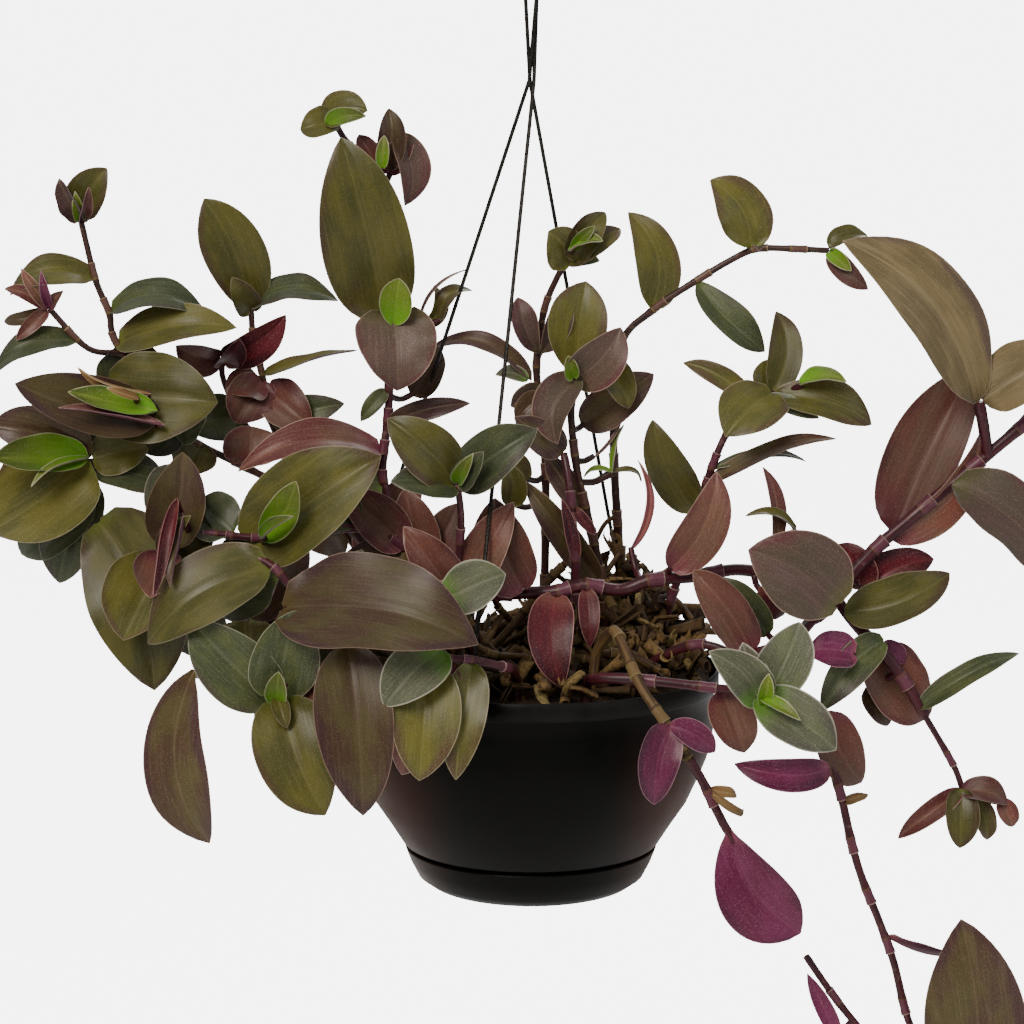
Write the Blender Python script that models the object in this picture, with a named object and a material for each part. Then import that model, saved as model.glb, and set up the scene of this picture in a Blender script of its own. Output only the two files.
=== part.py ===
"""A tradescantia in a hanging pot: pot, drip saucer, soil, wire hanger, stems and leaves.

The origin is at the middle of the saucer's underside, +Z is up and the plant's best side faces -Y.
Routes and leaf tips are in millimetres and are turned to metres where a mesh is made.
"""

import math
from typing import NamedTuple

import bmesh
import bpy
from mathutils import Matrix, Vector

MM = 0.001
GAP = 0.3

RIM_RADIUS = 102.0
RIM_TOP = 120.0
RIM_BAND = 9.5
WALL = 1.7
POT_FOOT = 2.6
SAUCER_LIP = 21.4
ROUND_STEPS = 36
DRAIN_RADIUS = 4.5
DRAIN_RING = 34.0
DRAIN_HOLES = 6

SOIL_TOP = 124.0
SOIL_EDGE = 112.0
SOIL_BOTTOM = 6.0
ROOT_DEPTH = 24.0

WIRE_RADIUS = 1.05
WIRE_TWIST_HEIGHT = 433.0
WIRE_TWIST_RADIUS = 1.9
WIRE_TOP = 486.0
WIRE_TOP_RADIUS = 4.0
CLIP_AZIMUTHS = {"left": 170.0, "front": -107.0, "back": 57.0}
CLIP_WIDTH = 9.0
CLIP_TOP = 141.0
CLIP_LEG = 2.0

HOOK_PLATE_RADIUS = 8.0
HOOK_PLATE_HEIGHT = 4.0
HOOK_WIRE = 2.2
HOOK_BOW = 14.0

BLADE_THICKNESS = 1.0
STEM_SIDES = 5

FRONT = (0.0, -1.0, 0.25)
UP = (0.0, -0.9, 1.0)


class Finish(NamedTuple):
    """Colour, roughness and metallic value of one material."""

    colour: tuple
    roughness: float
    metallic: float


FINISHES = {
    "black_plastic": Finish((0.012, 0.012, 0.013), 0.3, 0.0),
    "hanger_steel": Finish((0.03, 0.03, 0.03), 0.4, 1.0),
    "soil": Finish((0.05, 0.03, 0.018), 0.95, 0.0),
    "stem": Finish((0.1, 0.02, 0.035), 0.5, 0.0),
    "old_stem": Finish((0.26, 0.15, 0.05), 0.8, 0.0),
    "olive": Finish((0.12, 0.13, 0.05), 0.55, 0.0),
    "bronze": Finish((0.11, 0.06, 0.04), 0.55, 0.0),
    "teal": Finish((0.07, 0.1, 0.08), 0.5, 0.0),
    "lime": Finish((0.16, 0.35, 0.01), 0.5, 0.0),
    "plum": Finish((0.1, 0.03, 0.05), 0.5, 0.0),
    "magenta": Finish((0.22, 0.03, 0.12), 0.45, 0.0),
}


class Leaf(NamedTuple):
    """One blade: where it sits on its stem, its tip, and how it is held.

    at counts the points of the stem's route, arch bows the midrib towards the upper side and sway
    bows it sideways (both as parts of the length), cup lifts the margins and twist turns the blade
    towards its tip (both in degrees). A leaf with a name is a piece of its own.
    """

    at: float
    tip: tuple
    width: float
    face: tuple
    arch: float
    cup: float
    sway: float
    twist: float
    finish: str
    name: str = ""
    stem: int = 0


class Shoot(NamedTuple):
    """One rooted shoot: the routes of its stem and side stems, their radii and its leaves."""

    name: str
    finish: str
    radii: tuple
    routes: tuple
    leaves: tuple


SHOOTS = (
    Shoot("shoot_upper_left", "stem", (2.7, 1.9), (
        ((-44, 14), (-60, 12, 140), (-103, 2, 200), (-152, -4, 228), (-190, -6, 250),
         (-220, -6, 294), (-224, -6, 311), (-231, -6, 329), (-238, -6, 360)),
        ((-218, -6, 290), (-235, -12, 293), (-254, -16, 314)),
        ((-190, -6, 250), (-199, -18, 254), (-207, -27, 260)),
    ), (
        Leaf(7.7, (-250, -16, 352), 26, FRONT, 0.1, 15, 0.05, 0, "olive"),
        Leaf(8, (-224, 2, 388), 28, FRONT, 0.05, 18, -0.05, 0, "bronze"),
        Leaf(8, (-246, -14, 378), 10, FRONT, 0.1, 30, 0.1, 0, "lime"),
        Leaf(8, (-258, 0, 376), 22, FRONT, 0.1, 20, 0.0, 0, "olive"),
        Leaf(7, (-276, -10, 322), 26, UP, 0.24, 12, 0.0, 0, "olive"),
        Leaf(6, (-171, -10, 311), 22, UP, 0.2, 12, 0.0, 0, "olive"),
        Leaf(5, (-161, -12, 303), 21, (0, -0.8, 0.8), 0.1, 12, 0.0, 0, "teal",
             "leaf_upper_left_side"),
        Leaf(1.2, (-281, -22, 278), 17, UP, 0.18, 15, 0.0, 0, "teal", stem=1),
        Leaf(2, (-273, -20, 330), 14, FRONT, 0.1, 35, 0.1, 0, "plum", stem=1),
        Leaf(2, (-279, -14, 308), 13, FRONT, 0.1, 35, -0.1, 0, "plum", stem=1),
        Leaf(2, (-256, -20, 334), 10, FRONT, 0.1, 30, 0.0, 0, "plum", stem=1),
        Leaf(2, (-184, -26, 288), 44, (0.3, -1, 0.4), 0.08, 12, -0.1, 0, "bronze",
             "leaf_left_rosette_back", 2),
        Leaf(2, (-274, -36, 274), 40, (-0.2, -0.8, 0.8), 0.1, 22, 0.0, 0, "olive", stem=2),
        Leaf(2, (-232, -42, 262), 10, FRONT, 0.1, 35, 0.0, 0, "plum", stem=2),
        Leaf(2, (-196, -48, 248), 20, (0.3, -1, 0.5), 0.12, 20, 0.0, 0, "olive", stem=2),
        Leaf(2, (-230, -40, 274), 11, FRONT, 0.1, 35, 0.0, 0, "lime", stem=2),
        Leaf(4, (-206, -14, 238), 18, FRONT, 0.1, 15, 0.0, 0, "teal"),
        Leaf(4, (-172, -18, 262), 18, FRONT, 0.1, 15, 0.0, 0, "teal"),
        Leaf(3.6, (-184, -18, 226), 18, FRONT, 0.1, 15, 0.0, 0, "olive"),
    )),
    Shoot("shoot_left_upright", "stem", (2.6, 1.9), (
        ((-62, 34), (-72, 32, 140), (-92, 29, 174), (-125, 25, 218), (-142, 19, 252),
         (-145, 16, 274), (-150, 15, 297), (-151, 15, 312)),
        ((-138, 20, 240), (-155, 22, 248), (-167, 22, 272), (-168, 22, 286)),
    ), (
        Leaf(7, (-174, 4, 371), 37, FRONT, 0.04, 14, 0.06, 0, "olive", "leaf_left_upright"),
        Leaf(7, (-106, 10, 312), 17, UP, 0.2, 15, 0.0, 0, "bronze"),
        Leaf(5.1, (-95, 10, 290), 13, (0, -0.8, 0.8), 0.05, 20, 0.1, 70, "bronze"),
        Leaf(5, (-159, 4, 252), 18, (0, -1, -0.2), 0.12, 12, 0.0, 0, "plum"),
        Leaf(4.8, (-160, 8, 270), 11, UP, 0.12, 12, 0.0, 0, "teal"),
        Leaf(4.8, (-124, 8, 252), 11, FRONT, 0.1, 12, 0.0, 0, "teal"),
        Leaf(3, (-133, 28, 306), 19, (0.2, 1, 0.4), 0.08, 15, 0.0, 0, "plum", stem=1),
        Leaf(3, (-181, 18, 292), 13, FRONT, 0.1, 15, 0.0, 0, "plum", stem=1),
        Leaf(2.6, (-156, 10, 292), 14, FRONT, 0.1, 30, 0.0, 0, "plum", stem=1),
        Leaf(1.2, (-179, 12, 258), 15, FRONT, 0.1, 15, 0.0, 0, "olive", stem=1),
    )),
    Shoot("shoot_far_left", "stem", (2.7, 2.0), (
        ((-74, -12), (-82, -16, 136), (-112, -26, 146), (-152, -32, 152), (-192, -34, 166),
         (-222, -31, 194), (-230, -28, 222), (-232, -28, 236)),
    ), (
        Leaf(7, (-283, -34, 214), 52, (-0.1, -1, 0.3), 0.08, 14, 0.0, 0, "olive"),
        Leaf(7, (-277, -44, 250), 17, (0, -0.7, 1), 0.12, 25, 0.0, 0, "lime"),
        Leaf(7, (-208, -26, 246), 18, FRONT, 0.08, 15, 0.0, 0, "olive"),
        Leaf(7, (-254, -12, 262), 20, FRONT, 0.08, 15, 0.0, 0, "teal"),
        Leaf(5.9, (-260, -30, 181), 19, FRONT, 0.1, 12, 0.0, 0, "teal"),
        Leaf(6.2, (-276, -22, 195), 8, UP, 0.1, 12, 0.0, 0, "teal"),
        Leaf(6.5, (-197, -36, 226), 12, UP, 0.12, 12, 0.0, 0, "teal"),
        Leaf(4.8, (-202, -74, 121), 42, (-0.3, -1, 0.3), 0.12, 10, -0.1, 0, "olive",
             "leaf_left_drooping"),
    )),
    Shoot("shoot_front_left_arching", "stem", (2.9, 2.0), (
        ((-44, -34), (-48, -40, 145), (-52, -44, 174), (-66, -50, 192), (-91, -54, 203),
         (-126, -62, 198), (-143, -64, 199), (-172, -66, 201), (-189, -68, 191)),
    ), (
        Leaf(8, (-209, -86, 152), 42, (-0.3, -1, 0.4), 0.14, 14, 0.0, 0, "olive",
             "leaf_front_left_crown"),
        Leaf(8, (-216, -74, 206), 17, FRONT, 0.12, 35, 0.0, 0, "olive"),
        Leaf(8, (-195, -66, 216), 14, (0.2, -1, 0.2), 0.05, 40, 0.0, 0, "magenta"),
        Leaf(7.6, (-179, -62, 244), 28, FRONT, 0.06, 15, 0.05, 0, "olive"),
        Leaf(8, (-168, -58, 174), 13, (0.4, -1, 0.3), 0.1, 30, 0.0, 0, "olive"),
        Leaf(7.2, (-172, -50, 240), 22, (0.2, -1, 0.2), 0.05, 15, -0.1, 0, "teal"),
        Leaf(6.4, (-178, -72, 220), 22, FRONT, 0.1, 14, 0.0, 0, "olive"),
        Leaf(5.2, (-146, -50, 226), 16, FRONT, 0.1, 25, 0.0, 0, "olive"),
        Leaf(5.2, (-130, -50, 231), 10, FRONT, 0.08, 35, 0.0, 0, "lime"),
        Leaf(5.2, (-118, -66, 224), 14, FRONT, 0.08, 25, 0.0, 0, "olive"),
        Leaf(3, (-92, -58, 211), 15, FRONT, 0.08, 15, 0.0, 0, "plum"),
        Leaf(2.4, (-66, -58, 216), 17, FRONT, 0.08, 15, 0.0, 0, "plum"),
        Leaf(2.2, (-34, -54, 210), 15, FRONT, 0.08, 15, 0.0, 0, "plum"),
    )),
    Shoot("shoot_front_left_low", "stem", (3.0, 2.3), (
        ((-46, -62), (-56, -70, 128), (-78, -88, 150), (-100, -94, 166), (-118, -94, 176),
         (-131, -92, 189), (-144, -88, 194)),
    ), (
        Leaf(4, (-28, -142, 158), 52, (0.1, -0.9, 0.75), 0.12, 10, 0.0, 0, "olive",
             "leaf_front_broad"),
        Leaf(5, (-196, -96, 150), 26, (-0.2, -0.8, 0.8), 0.16, 10, 0.0, 0, "olive", "leaf_left_low"),
        Leaf(5.4, (-152, -74, 176), 12, FRONT, 0.1, 15, 0.0, 0, "plum"),
        Leaf(3, (-88, -84, 192), 12, FRONT, 0.1, 15, 0.0, 0, "teal"),
    )),
    Shoot("shoot_centre_left", "stem", (3.0, 2.0), (
        ((-58, -8), (-61, -11, 150), (-62, -12, 178), (-71, -11, 196), (-79, -9, 221),
         (-79, -7, 236), (-77, -5, 253), (-76, -4, 270), (-78, -2, 308), (-80, 0, 345),
         (-82, 0, 374)),
        ((-82, 0, 370), (-90, 0, 392), (-99, 0, 403), (-103, -1, 410)),
    ), (
        Leaf(10, (-88, -4, 417), 16, FRONT, 0.05, 25, 0.05, 0, "plum"),
        Leaf(10, (-62, -8, 398), 19, FRONT, 0.1, 20, 0.0, 0, "plum"),
        Leaf(10, (-64, -4, 368), 15, (0.3, -1, 0.4), 0.1, 20, 0.0, 0, "teal"),
        Leaf(10, (-94, -10, 386), 14, FRONT, 0.1, 25, 0.0, 0, "plum"),
        Leaf(10, (-78, -10, 402), 9, FRONT, 0.1, 35, 0.0, 0, "lime"),
        Leaf(8, (-99, -22, 402), 47, FRONT, 0.05, 12, 0.03, 0, "olive"),
        Leaf(7.8, (-64, -20, 330), 17, FRONT, 0.1, 32, 0.0, 0, "lime"),
        Leaf(8, (-107, 12, 334), 18, FRONT, 0.08, 12, 0.0, 0, "teal"),
        Leaf(8, (-76, -26, 267), 40, (0.1, -1, 0.3), 0.14, 12, 0.0, 0, "teal"),
        Leaf(7.8, (-30, 26, 316), 16, (0, -1, 0.6), 0.1, 12, 0.0, 0, "olive"),
        Leaf(7, (-91, -8, 254), 9, FRONT, 0.1, 12, 0.0, 0, "teal"),
        Leaf(6.3, (-50, -12, 284), 21, FRONT, 0.06, 12, 0.0, 0, "bronze"),
        Leaf(6, (-33, -12, 264), 12, (0, -1, 0.4), 0.1, 14, 0.0, 0, "plum"),
        Leaf(5, (-157, -22, 228), 14, (0, -0.4, 1), 0.24, 15, 0.0, 0, "teal"),
        Leaf(4.8, (-157, -38, 206), 34, (0, -1, 0.5), 0.12, 10, 0.0, 0, "olive", "leaf_left_broad"),
        Leaf(3, (-121, -1, 417), 16, UP, 0.12, 15, 0.0, 0, "olive", stem=1),
        Leaf(3, (-88, -1, 425), 16, UP, 0.12, 15, 0.0, 0, "olive", stem=1),
        Leaf(3, (-104, -14, 420), 9, FRONT, 0.08, 30, 0.0, 0, "lime", stem=1),
    )),
    Shoot("shoot_front_centre_upright", "stem", (2.6, 2.0), (
        ((-26, -48), (-36, -60, 150), (-38, -68, 180), (-36, -79, 210), (-38, -82, 230)),
    ), (
        Leaf(4, (-72, -92, 234), 27, (-0.1, -1, 0.5), 0.16, 12, 0.0, 0, "olive"),
        Leaf(4, (1, -94, 258), 26, (0.1, -1, 0.5), 0.12, 12, 0.0, 0, "teal"),
        Leaf(4, (-26, -100, 250), 14, FRONT, 0.1, 30, 0.0, 0, "lime"),
        Leaf(3.9, (-70, -100, 222), 20, (-0.1, -1, 0.6), 0.12, 12, 0.0, 0, "teal"),
        Leaf(4, (-46, -70, 256), 14, FRONT, 0.1, 20, 0.0, 0, "olive"),
        Leaf(1.6, (-60, -98, 189), 22, (0, -1, 0.6), 0.1, 12, 0.0, 0, "teal"),
    )),
    Shoot("shoot_centre_tall", "stem", (2.7, 1.9), (
        ((6, 6), (7, 5, 150), (8, 5, 206), (7, 6, 238), (3, 8, 277), (4, 8, 292), (8, 7, 316),
         (20, 4, 341), (29, 3, 353)),
    ), (
        Leaf(8, (7, -4, 347), 20, (-0.2, -0.8, 1), 0.14, 14, 0.0, 0, "olive"),
        Leaf(8, (48, 2, 362), 15, (0, -1, 0.6), 0.08, 20, 0.0, 0, "olive"),
        Leaf(8, (46, -12, 350), 12, (0, -0.7, 1), 0.1, 28, 0.0, 0, "lime"),
        Leaf(8, (30, -14, 342), 12, (0, -0.8, 1), 0.1, 25, 0.0, 0, "olive"),
        Leaf(6.9, (12, -6, 350), 9, FRONT, 0.08, 14, 0.0, 0, "teal"),
        Leaf(6.9, (34, -2, 342), 9, (0, -1, 0.6), 0.1, 14, 0.0, 0, "teal"),
        Leaf(5, (-9, 2, 318), 11, FRONT, 0.05, 14, -0.05, 0, "olive"),
        Leaf(5, (17, 0, 320), 14, FRONT, 0.06, 14, 0.05, 0, "bronze"),
        Leaf(4, (-56, 30, 290), 11, (0, -0.7, 1), 0.08, 14, 0.0, 20, "bronze"),
        Leaf(4, (-20, 18, 274), 9, (0, -1, 0.5), 0.08, 12, 0.0, 0, "teal"),
        Leaf(3.4, (-14, -6, 252), 10, FRONT, 0.08, 12, 0.0, 0, "teal"),
        Leaf(2, (-14, -10, 234), 14, FRONT, 0.08, 14, 0.0, 0, "olive"),
    )),
    Shoot("shoot_centre_right", "stem", (2.9, 2.1), (
        ((40, -14), (40, -14, 140), (38, -14, 168), (29, -15, 208), (24, -15, 230), (21, -15, 262),
         (26, -14, 282), (32, -12, 290)),
    ), (
        Leaf(7, (22, -8, 328), 31, (0.1, -1, 0.2), 0.05, 14, -0.06, 0, "olive",
             "leaf_centre_upright"),
        Leaf(6, (47, -30, 302), 25, (0.2, -1, 0.4), 0.1, 28, 0.0, 0, "bronze"),
        Leaf(6, (29, -30, 288), 8, FRONT, 0.1, 35, 0.0, 0, "lime"),
        Leaf(5.9, (13, -42, 243), 28, (-0.5, -1, 0.3), 0.12, 22, 0.1, 0, "bronze"),
        Leaf(7, (49, -22, 261), 18, (0.4, -1, 0.2), 0.16, 28, 0.0, 0, "lime"),
        Leaf(4.9, (66, -4, 280), 25, (0, -1, 0.3), 0.06, 12, 0.0, 0, "bronze", "leaf_centre_dark"),
        Leaf(3.6, (50, -20, 236), 9, FRONT, 0.1, 14, 0.0, 0, "lime"),
        Leaf(3.6, (58, -12, 222), 6, UP, 0.2, 12, 0.0, 0, "teal"),
    )),
    Shoot("shoot_centre_pink", "stem", (3.2, 2.4), (
        ((24, -34), (24, -33, 140), (23, -32, 182), (21, -31, 210), (19, -27, 228), (17, -22, 238)),
    ), (
        Leaf(5, (-8, -34, 258), 17, FRONT, 0.06, 14, 0.0, 0, "plum"),
        Leaf(5, (2, -24, 262), 12, FRONT, 0.06, 18, 0.0, 0, "bronze"),
        Leaf(3, (46, -34, 196), 14, (0.2, -1, 0.5), 0.1, 14, 0.0, 0, "plum"),
    )),
    Shoot("shoot_right_arching", "stem", (2.8, 1.9), (
        ((50, 26), (50, 24, 160), (45, 18, 240), (48, 10, 292), (65, 6, 312), (88, 2, 328),
         (108, 0, 340), (120, 0, 345), (138, -2, 345), (158, -2, 344)),
    ), (
        Leaf(4, (50, 4, 364), 23, FRONT, 0.04, 14, -0.12, 0, "olive", "leaf_right_upright"),
        Leaf(5, (124, -12, 292), 19, (0.2, -1, 0.5), 0.08, 18, 0.0, 0, "teal",
             "leaf_right_hanging"),
        Leaf(6.8, (97, -6, 382), 28, FRONT, 0.04, 14, -0.08, 0, "olive", "leaf_right_top"),
        Leaf(7, (126, -16, 348), 13, FRONT, 0.05, 30, 0.0, 0, "bronze"),
        Leaf(9, (179, -14, 324), 16, FRONT, 0.08, 30, 0.0, 0, "olive"),
        Leaf(9, (178, 4, 353), 15, (0, -1, 0.8), 0.08, 30, 0.0, 0, "lime"),
        Leaf(9, (172, -16, 344), 10, FRONT, 0.08, 30, 0.0, 0, "lime"),
        Leaf(3.4, (66, 0, 282), 12, (0.3, -1, 0.3), 0.08, 14, 0.0, 0, "magenta"),
    )),
    Shoot("shoot_right_rosette", "stem", (2.7, 2.0), (
        ((66, -6), (70, -8, 140), (82, -16, 182), (92, -25, 222), (103, -26, 250),
         (115, -26, 266), (126, -26, 270)),
    ), (
        Leaf(5, (80, -18, 286), 17, FRONT, 0.06, 12, 0.05, 0, "olive"),
        Leaf(6, (100, -54, 250), 32, (-0.2, -1, 0.5), 0.16, 12, 0.0, 0, "olive"),
        Leaf(6, (128, -20, 288), 20, FRONT, 0.08, 15, 0.0, 0, "olive"),
        Leaf(6, (130, -16, 311), 18, FRONT, 0.06, 14, 0.1, 0, "bronze"),
        Leaf(6, (164, -42, 272), 13, (0, -0.8, 0.9), 0.1, 30, 0.0, 0, "lime"),
        Leaf(6, (178, -34, 254), 23, (0.1, -1, 0.6), 0.14, 12, 0.0, 0, "olive"),
        Leaf(5.8, (150, -34, 256), 9, FRONT, 0.1, 12, 0.0, 0, "plum"),
        Leaf(3, (157, -36, 249), 12, (0, -0.7, 0.9), 0.08, 20, 0.0, 0, "plum"),
        Leaf(3.2, (146, -18, 234), 7, UP, 0.12, 12, 0.0, 0, "teal"),
        Leaf(2.6, (64, -28, 256), 24, FRONT, 0.05, 14, -0.08, 0, "olive"),
    )),
    Shoot("shoot_right_long", "stem", (3.6, 3.6), (
        ((-18, -12), (-30, -28, 138), (-34, -42, 158), (-26, -48, 166), (-5, -50, 168),
         (13, -51, 169), (28, -49, 172), (46, -47, 169), (62, -46, 174), (84, -40, 175),
         (110, -36, 178), (137, -34, 172), (158, -32, 167), (186, -28, 192), (221, -24, 221),
         (242, -22, 238), (263, -20, 256), (280, -16, 272)),
        ((158, -32, 166), (170, -38, 150), (188, -40, 131), (200, -40, 114), (208, -40, 101),
         (224, -40, 73), (229, -40, 60)),
        ((156, -32, 167), (144, -52, 152), (126, -70, 144), (113, -80, 141)),
        ((241, -22, 237), (237, -28, 254), (234, -30, 266)),
    ), (
        Leaf(4.6, (-15, -66, 217), 26, (-0.4, -1, 0.2), 0.05, 18, -0.06, 0, "bronze",
             "leaf_front_upright"),
        Leaf(5, (10, -76, 124), 21, (0, -1, 0.2), 0.12, 14, 0.0, 0, "magenta"),
        Leaf(6, (32, -62, 148), 11, FRONT, 0.1, 14, 0.0, 0, "plum"),
        Leaf(8.4, (98, -52, 230), 26, (0.1, -1, 0.2), 0.06, 14, 0.12, 0, "bronze",
             "leaf_right_bronze"),
        Leaf(8, (56, -40, 212), 8, FRONT, 0.05, 20, 0.0, 0, "magenta"),
        Leaf(12, (114, -78, 178), 42, (-0.1, -1, 0.4), 0.16, 10, -0.12, 0, "bronze",
             "leaf_right_round"),
        Leaf(12, (167, -12, 190), 18, FRONT, 0.1, 14, 0.0, 0, "magenta"),
        Leaf(12.2, (219, 6, 178), 20, (0.1, 1, 0.6), 0.1, 14, 0.0, 0, "magenta"),
        Leaf(11.2, (130, -20, 214), 9, FRONT, 0.05, 18, 0.0, 0, "bronze"),
        Leaf(11, (116, -26, 194), 10, UP, 0.1, 14, 0.0, 0, "olive"),
        Leaf(12.8, (222, -50, 278), 42, (-0.3, -1, 0.3), 0.1, 14, -0.04, 0, "bronze"),
        Leaf(15, (272, -48, 166), 40, (0.3, -1, 0.4), 0.1, 14, 0.06, 0, "plum",
             "leaf_right_edge_low"),
        Leaf(13.6, (238, -14, 206), 11, (0.3, -1, -0.4), 0.1, 12, 0.0, 0, "plum"),
        Leaf(2, (163, -50, 351), 48, (0.2, -1, 0.4), 0.1, 10, 0.05, 0, "bronze",
             "leaf_right_edge_huge", 3),
        Leaf(2, (277, -34, 290), 34, (-0.2, -1, 0.5), 0.1, 14, 0.0, 0, "bronze", stem=3),
        Leaf(17, (290, -34, 296), 15, FRONT, 0.1, 20, 0.0, 0, "olive"),
        Leaf(17, (296, -8, 262), 14, UP, 0.14, 16, 0.0, 0, "olive"),
        Leaf(17, (278, -2, 300), 12, FRONT, 0.1, 25, 0.0, 0, "lime"),
        Leaf(0.4, (221, -42, 176), 28, (-0.1, -1, 0.4), 0.12, 12, -0.14, 0, "olive",
             "leaf_right_olive", 1),
        Leaf(1.2, (146, -62, 131), 20, (0, 1, 0.4), 0.14, 14, 0.0, 0, "magenta", stem=1),
        Leaf(1.7, (214, 6, 98), 30, (0.1, 1, 0.3), 0.08, 12, 0.1, 0, "plum", "leaf_right_plum", 1),
        Leaf(3.4, (257, -46, 136), 12, (0, -0.6, 1), -0.12, 22, 0.0, 0, "teal", stem=1),
        Leaf(6, (196, -46, 36), 12, (-0.3, -0.6, 1), 0.12, 25, 0.0, 0, "plum", stem=1),
        Leaf(6, (258, -44, 54), 22, (0.2, -1, -0.4), -0.06, 20, 0.0, 0, "plum", stem=1),
        Leaf(6, (234, -48, 30), 16, (0, -1, -0.2), 0.1, 25, 0.0, 0, "olive", stem=1),
        Leaf(6, (246, -32, 34), 14, (0, -1, -0.2), 0.1, 25, 0.0, 0, "lime", stem=1),
        Leaf(3, (83, -92, 183), 27, (-0.3, -1, 0.2), 0.06, 32, 0.05, 0, "olive",
             "leaf_front_right_folded", 2),
    )),
    Shoot("shoot_front_right_rosette", "old_stem", (3.4, 2.4), (
        ((28, -74), (34, -86, 130), (50, -92, 131), (68, -96, 130),
         (90, -99, 128), (114, -101, 126)),
    ), (
        Leaf(5, (86, -114, 145), 25, (-0.4, -1, 0.2), 0.12, 25, 0.0, 0, "teal"),
        Leaf(5, (102, -96, 152), 27, FRONT, 0.12, 20, 0.0, 0, "olive"),
        Leaf(5, (131, -106, 164), 34, FRONT, 0.06, 14, 0.0, 0, "olive"),
        Leaf(5, (152, -124, 98), 34, (0.1, -1, 0.4), 0.1, 14, 0.0, 0, "teal"),
        Leaf(5, (134, -122, 114), 10, FRONT, 0.1, 35, 0.0, 0, "lime"),
        Leaf(4.4, (108, -96, 92), 23, (0, -1, 0.1), 0.08, 14, 0.0, 0, "bronze"),
    )),
    Shoot("shoot_trailing_right", "stem", (2.6, 2.2), (
        ((56, -42), (62, -45, 130), (86, -56, 142), (108, -66, 136), (134, -76, 118),
         (149, -84, 91), (157, -86, 72), (164, -86, 43), (170, -86, 24), (179, -85, 2),
         (187, -85, -20), (196, -85, -53), (212, -87, -80), (230, -92, -88)),
        ((207, -86, -74), (190, -88, -76), (168, -88, -52), (154, -88, -34), (141, -88, -15)),
    ), (
        Leaf(4.4, (183, -68, 146), 21, (-0.3, -1, 0.4), 0.04, 24, 0.0, 0, "teal"),
        Leaf(5, (104, -96, 90), 17, (-0.1, 1, 0.4), -0.08, 20, 0.0, 0, "magenta",
             "leaf_right_magenta"),
        Leaf(4.6, (176, -60, 70), 20, (0.1, 1, 0.2), 0.06, 12, 0.0, 0, "bronze"),
        Leaf(9.4, (230, -78, -16), 13, (0, 0.4, 1), -0.1, 24, 0.0, 0, "plum"),
        Leaf(13, (217, -108, 9), 50, (-0.1, -1, 0.2), 0.06, 12, 0.05, 0, "olive",
             "leaf_trailing_broad"),
        Leaf(13, (262, -100, -102), 22, FRONT, 0.1, 14, 0.0, 0, "olive"),
        Leaf(13, (244, -96, -116), 14, FRONT, 0.1, 20, 0.0, 0, "lime"),
    )),
    Shoot("shoot_old_trailing", "old_stem", (3.0, 2.7), (
        ((32, -60), (34, -61, 140), (42, -72, 152), (48, -90, 142), (54, -104, 130),
         (62, -112, 119), (72, -116, 105), (83, -116, 87), (96, -117, 61), (103, -118, 52)),
    ), (
        Leaf(6.2, (61, -126, 74), 30, (0.7, 0.8, 0.2), 0.1, 38, 0.0, 0, "magenta"),
        Leaf(9, (134, -122, 8), 33, (0.2, 1, 0.1), 0.08, 14, -0.04, 0, "magenta",
             "leaf_trailing_magenta"),
        Leaf(7.2, (101, -108, 74), 9, (0, -1, 0.1), 0.2, 35, 0.0, 60, "bronze"),
    )),
    Shoot("shoot_front_left_hanging", "stem", (2.9, 2.1), (
        ((-68, -42), (-76, -66, 134), (-88, -86, 140), (-102, -104, 141), (-128, -102, 129),
         (-147, -97, 131), (-170, -92, 133)),
    ), (
        Leaf(4, (-118, -110, 165), 28, FRONT, 0.06, 14, 0.0, 0, "teal", "leaf_low_left_dark"),
        Leaf(4, (-104, -122, 71), 31, (0.1, -1, 0.2), 0.08, 12, 0.05, 0, "bronze",
             "leaf_low_left_bronze"),
        Leaf(4, (-134, -116, 138), 9, FRONT, 0.08, 30, 0.0, 0, "lime"),
        Leaf(5, (-168, -104, 164), 31, (-0.2, -1, 0.3), 0.08, 12, 0.0, 0, "teal",
             "leaf_low_left_glossy"),
        Leaf(6, (-163, -106, 48), 27, (-0.1, -1, 0.2), 0.08, 12, -0.12, 0, "bronze",
             "leaf_low_left_long"),
        Leaf(3, (-82, -130, 70), 36, (0, -1, 0.3), 0.08, 12, -0.03, 0, "bronze",
             "leaf_front_long"),
    )),
    Shoot("shoot_front_hanging", "stem", (2.8, 2.2), (
        ((-8, -68), (-10, -84, 134), (-16, -104, 140), (-30, -109, 144), (-46, -111, 145),
         (-58, -113, 144)),
    ), (
        Leaf(5, (-70, -136, 128), 25, (-0.1, -1, 0.5), 0.12, 18, 0.0, 0, "teal"),
        Leaf(4.6, (-53, -130, 90), 34, (0, -1, 0.2), 0.08, 12, 0.0, 0, "bronze", "leaf_front_olive"),
        Leaf(3, (-34, -130, 89), 23, (0, -1, 0.2), 0.08, 12, 0.03, 0, "olive", "leaf_front_green"),
    )),
)


def clear_scene() -> None:
    """Remove every object that the scene holds."""
    for obj in list(bpy.data.objects):
        bpy.data.objects.remove(obj, do_unlink=True)


def material(name: str) -> bpy.types.Material:
    """Return the named finish as a Principled material, making it the first time."""
    found = bpy.data.materials.get(name)
    if found:
        return found
    finish = FINISHES[name]
    made = bpy.data.materials.new(name)
    made.use_nodes = True
    shader = made.node_tree.nodes["Principled BSDF"]
    shader.inputs["Base Color"].default_value = (*finish.colour, 1.0)
    shader.inputs["Roughness"].default_value = finish.roughness
    shader.inputs["Metallic"].default_value = finish.metallic
    return made


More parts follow.
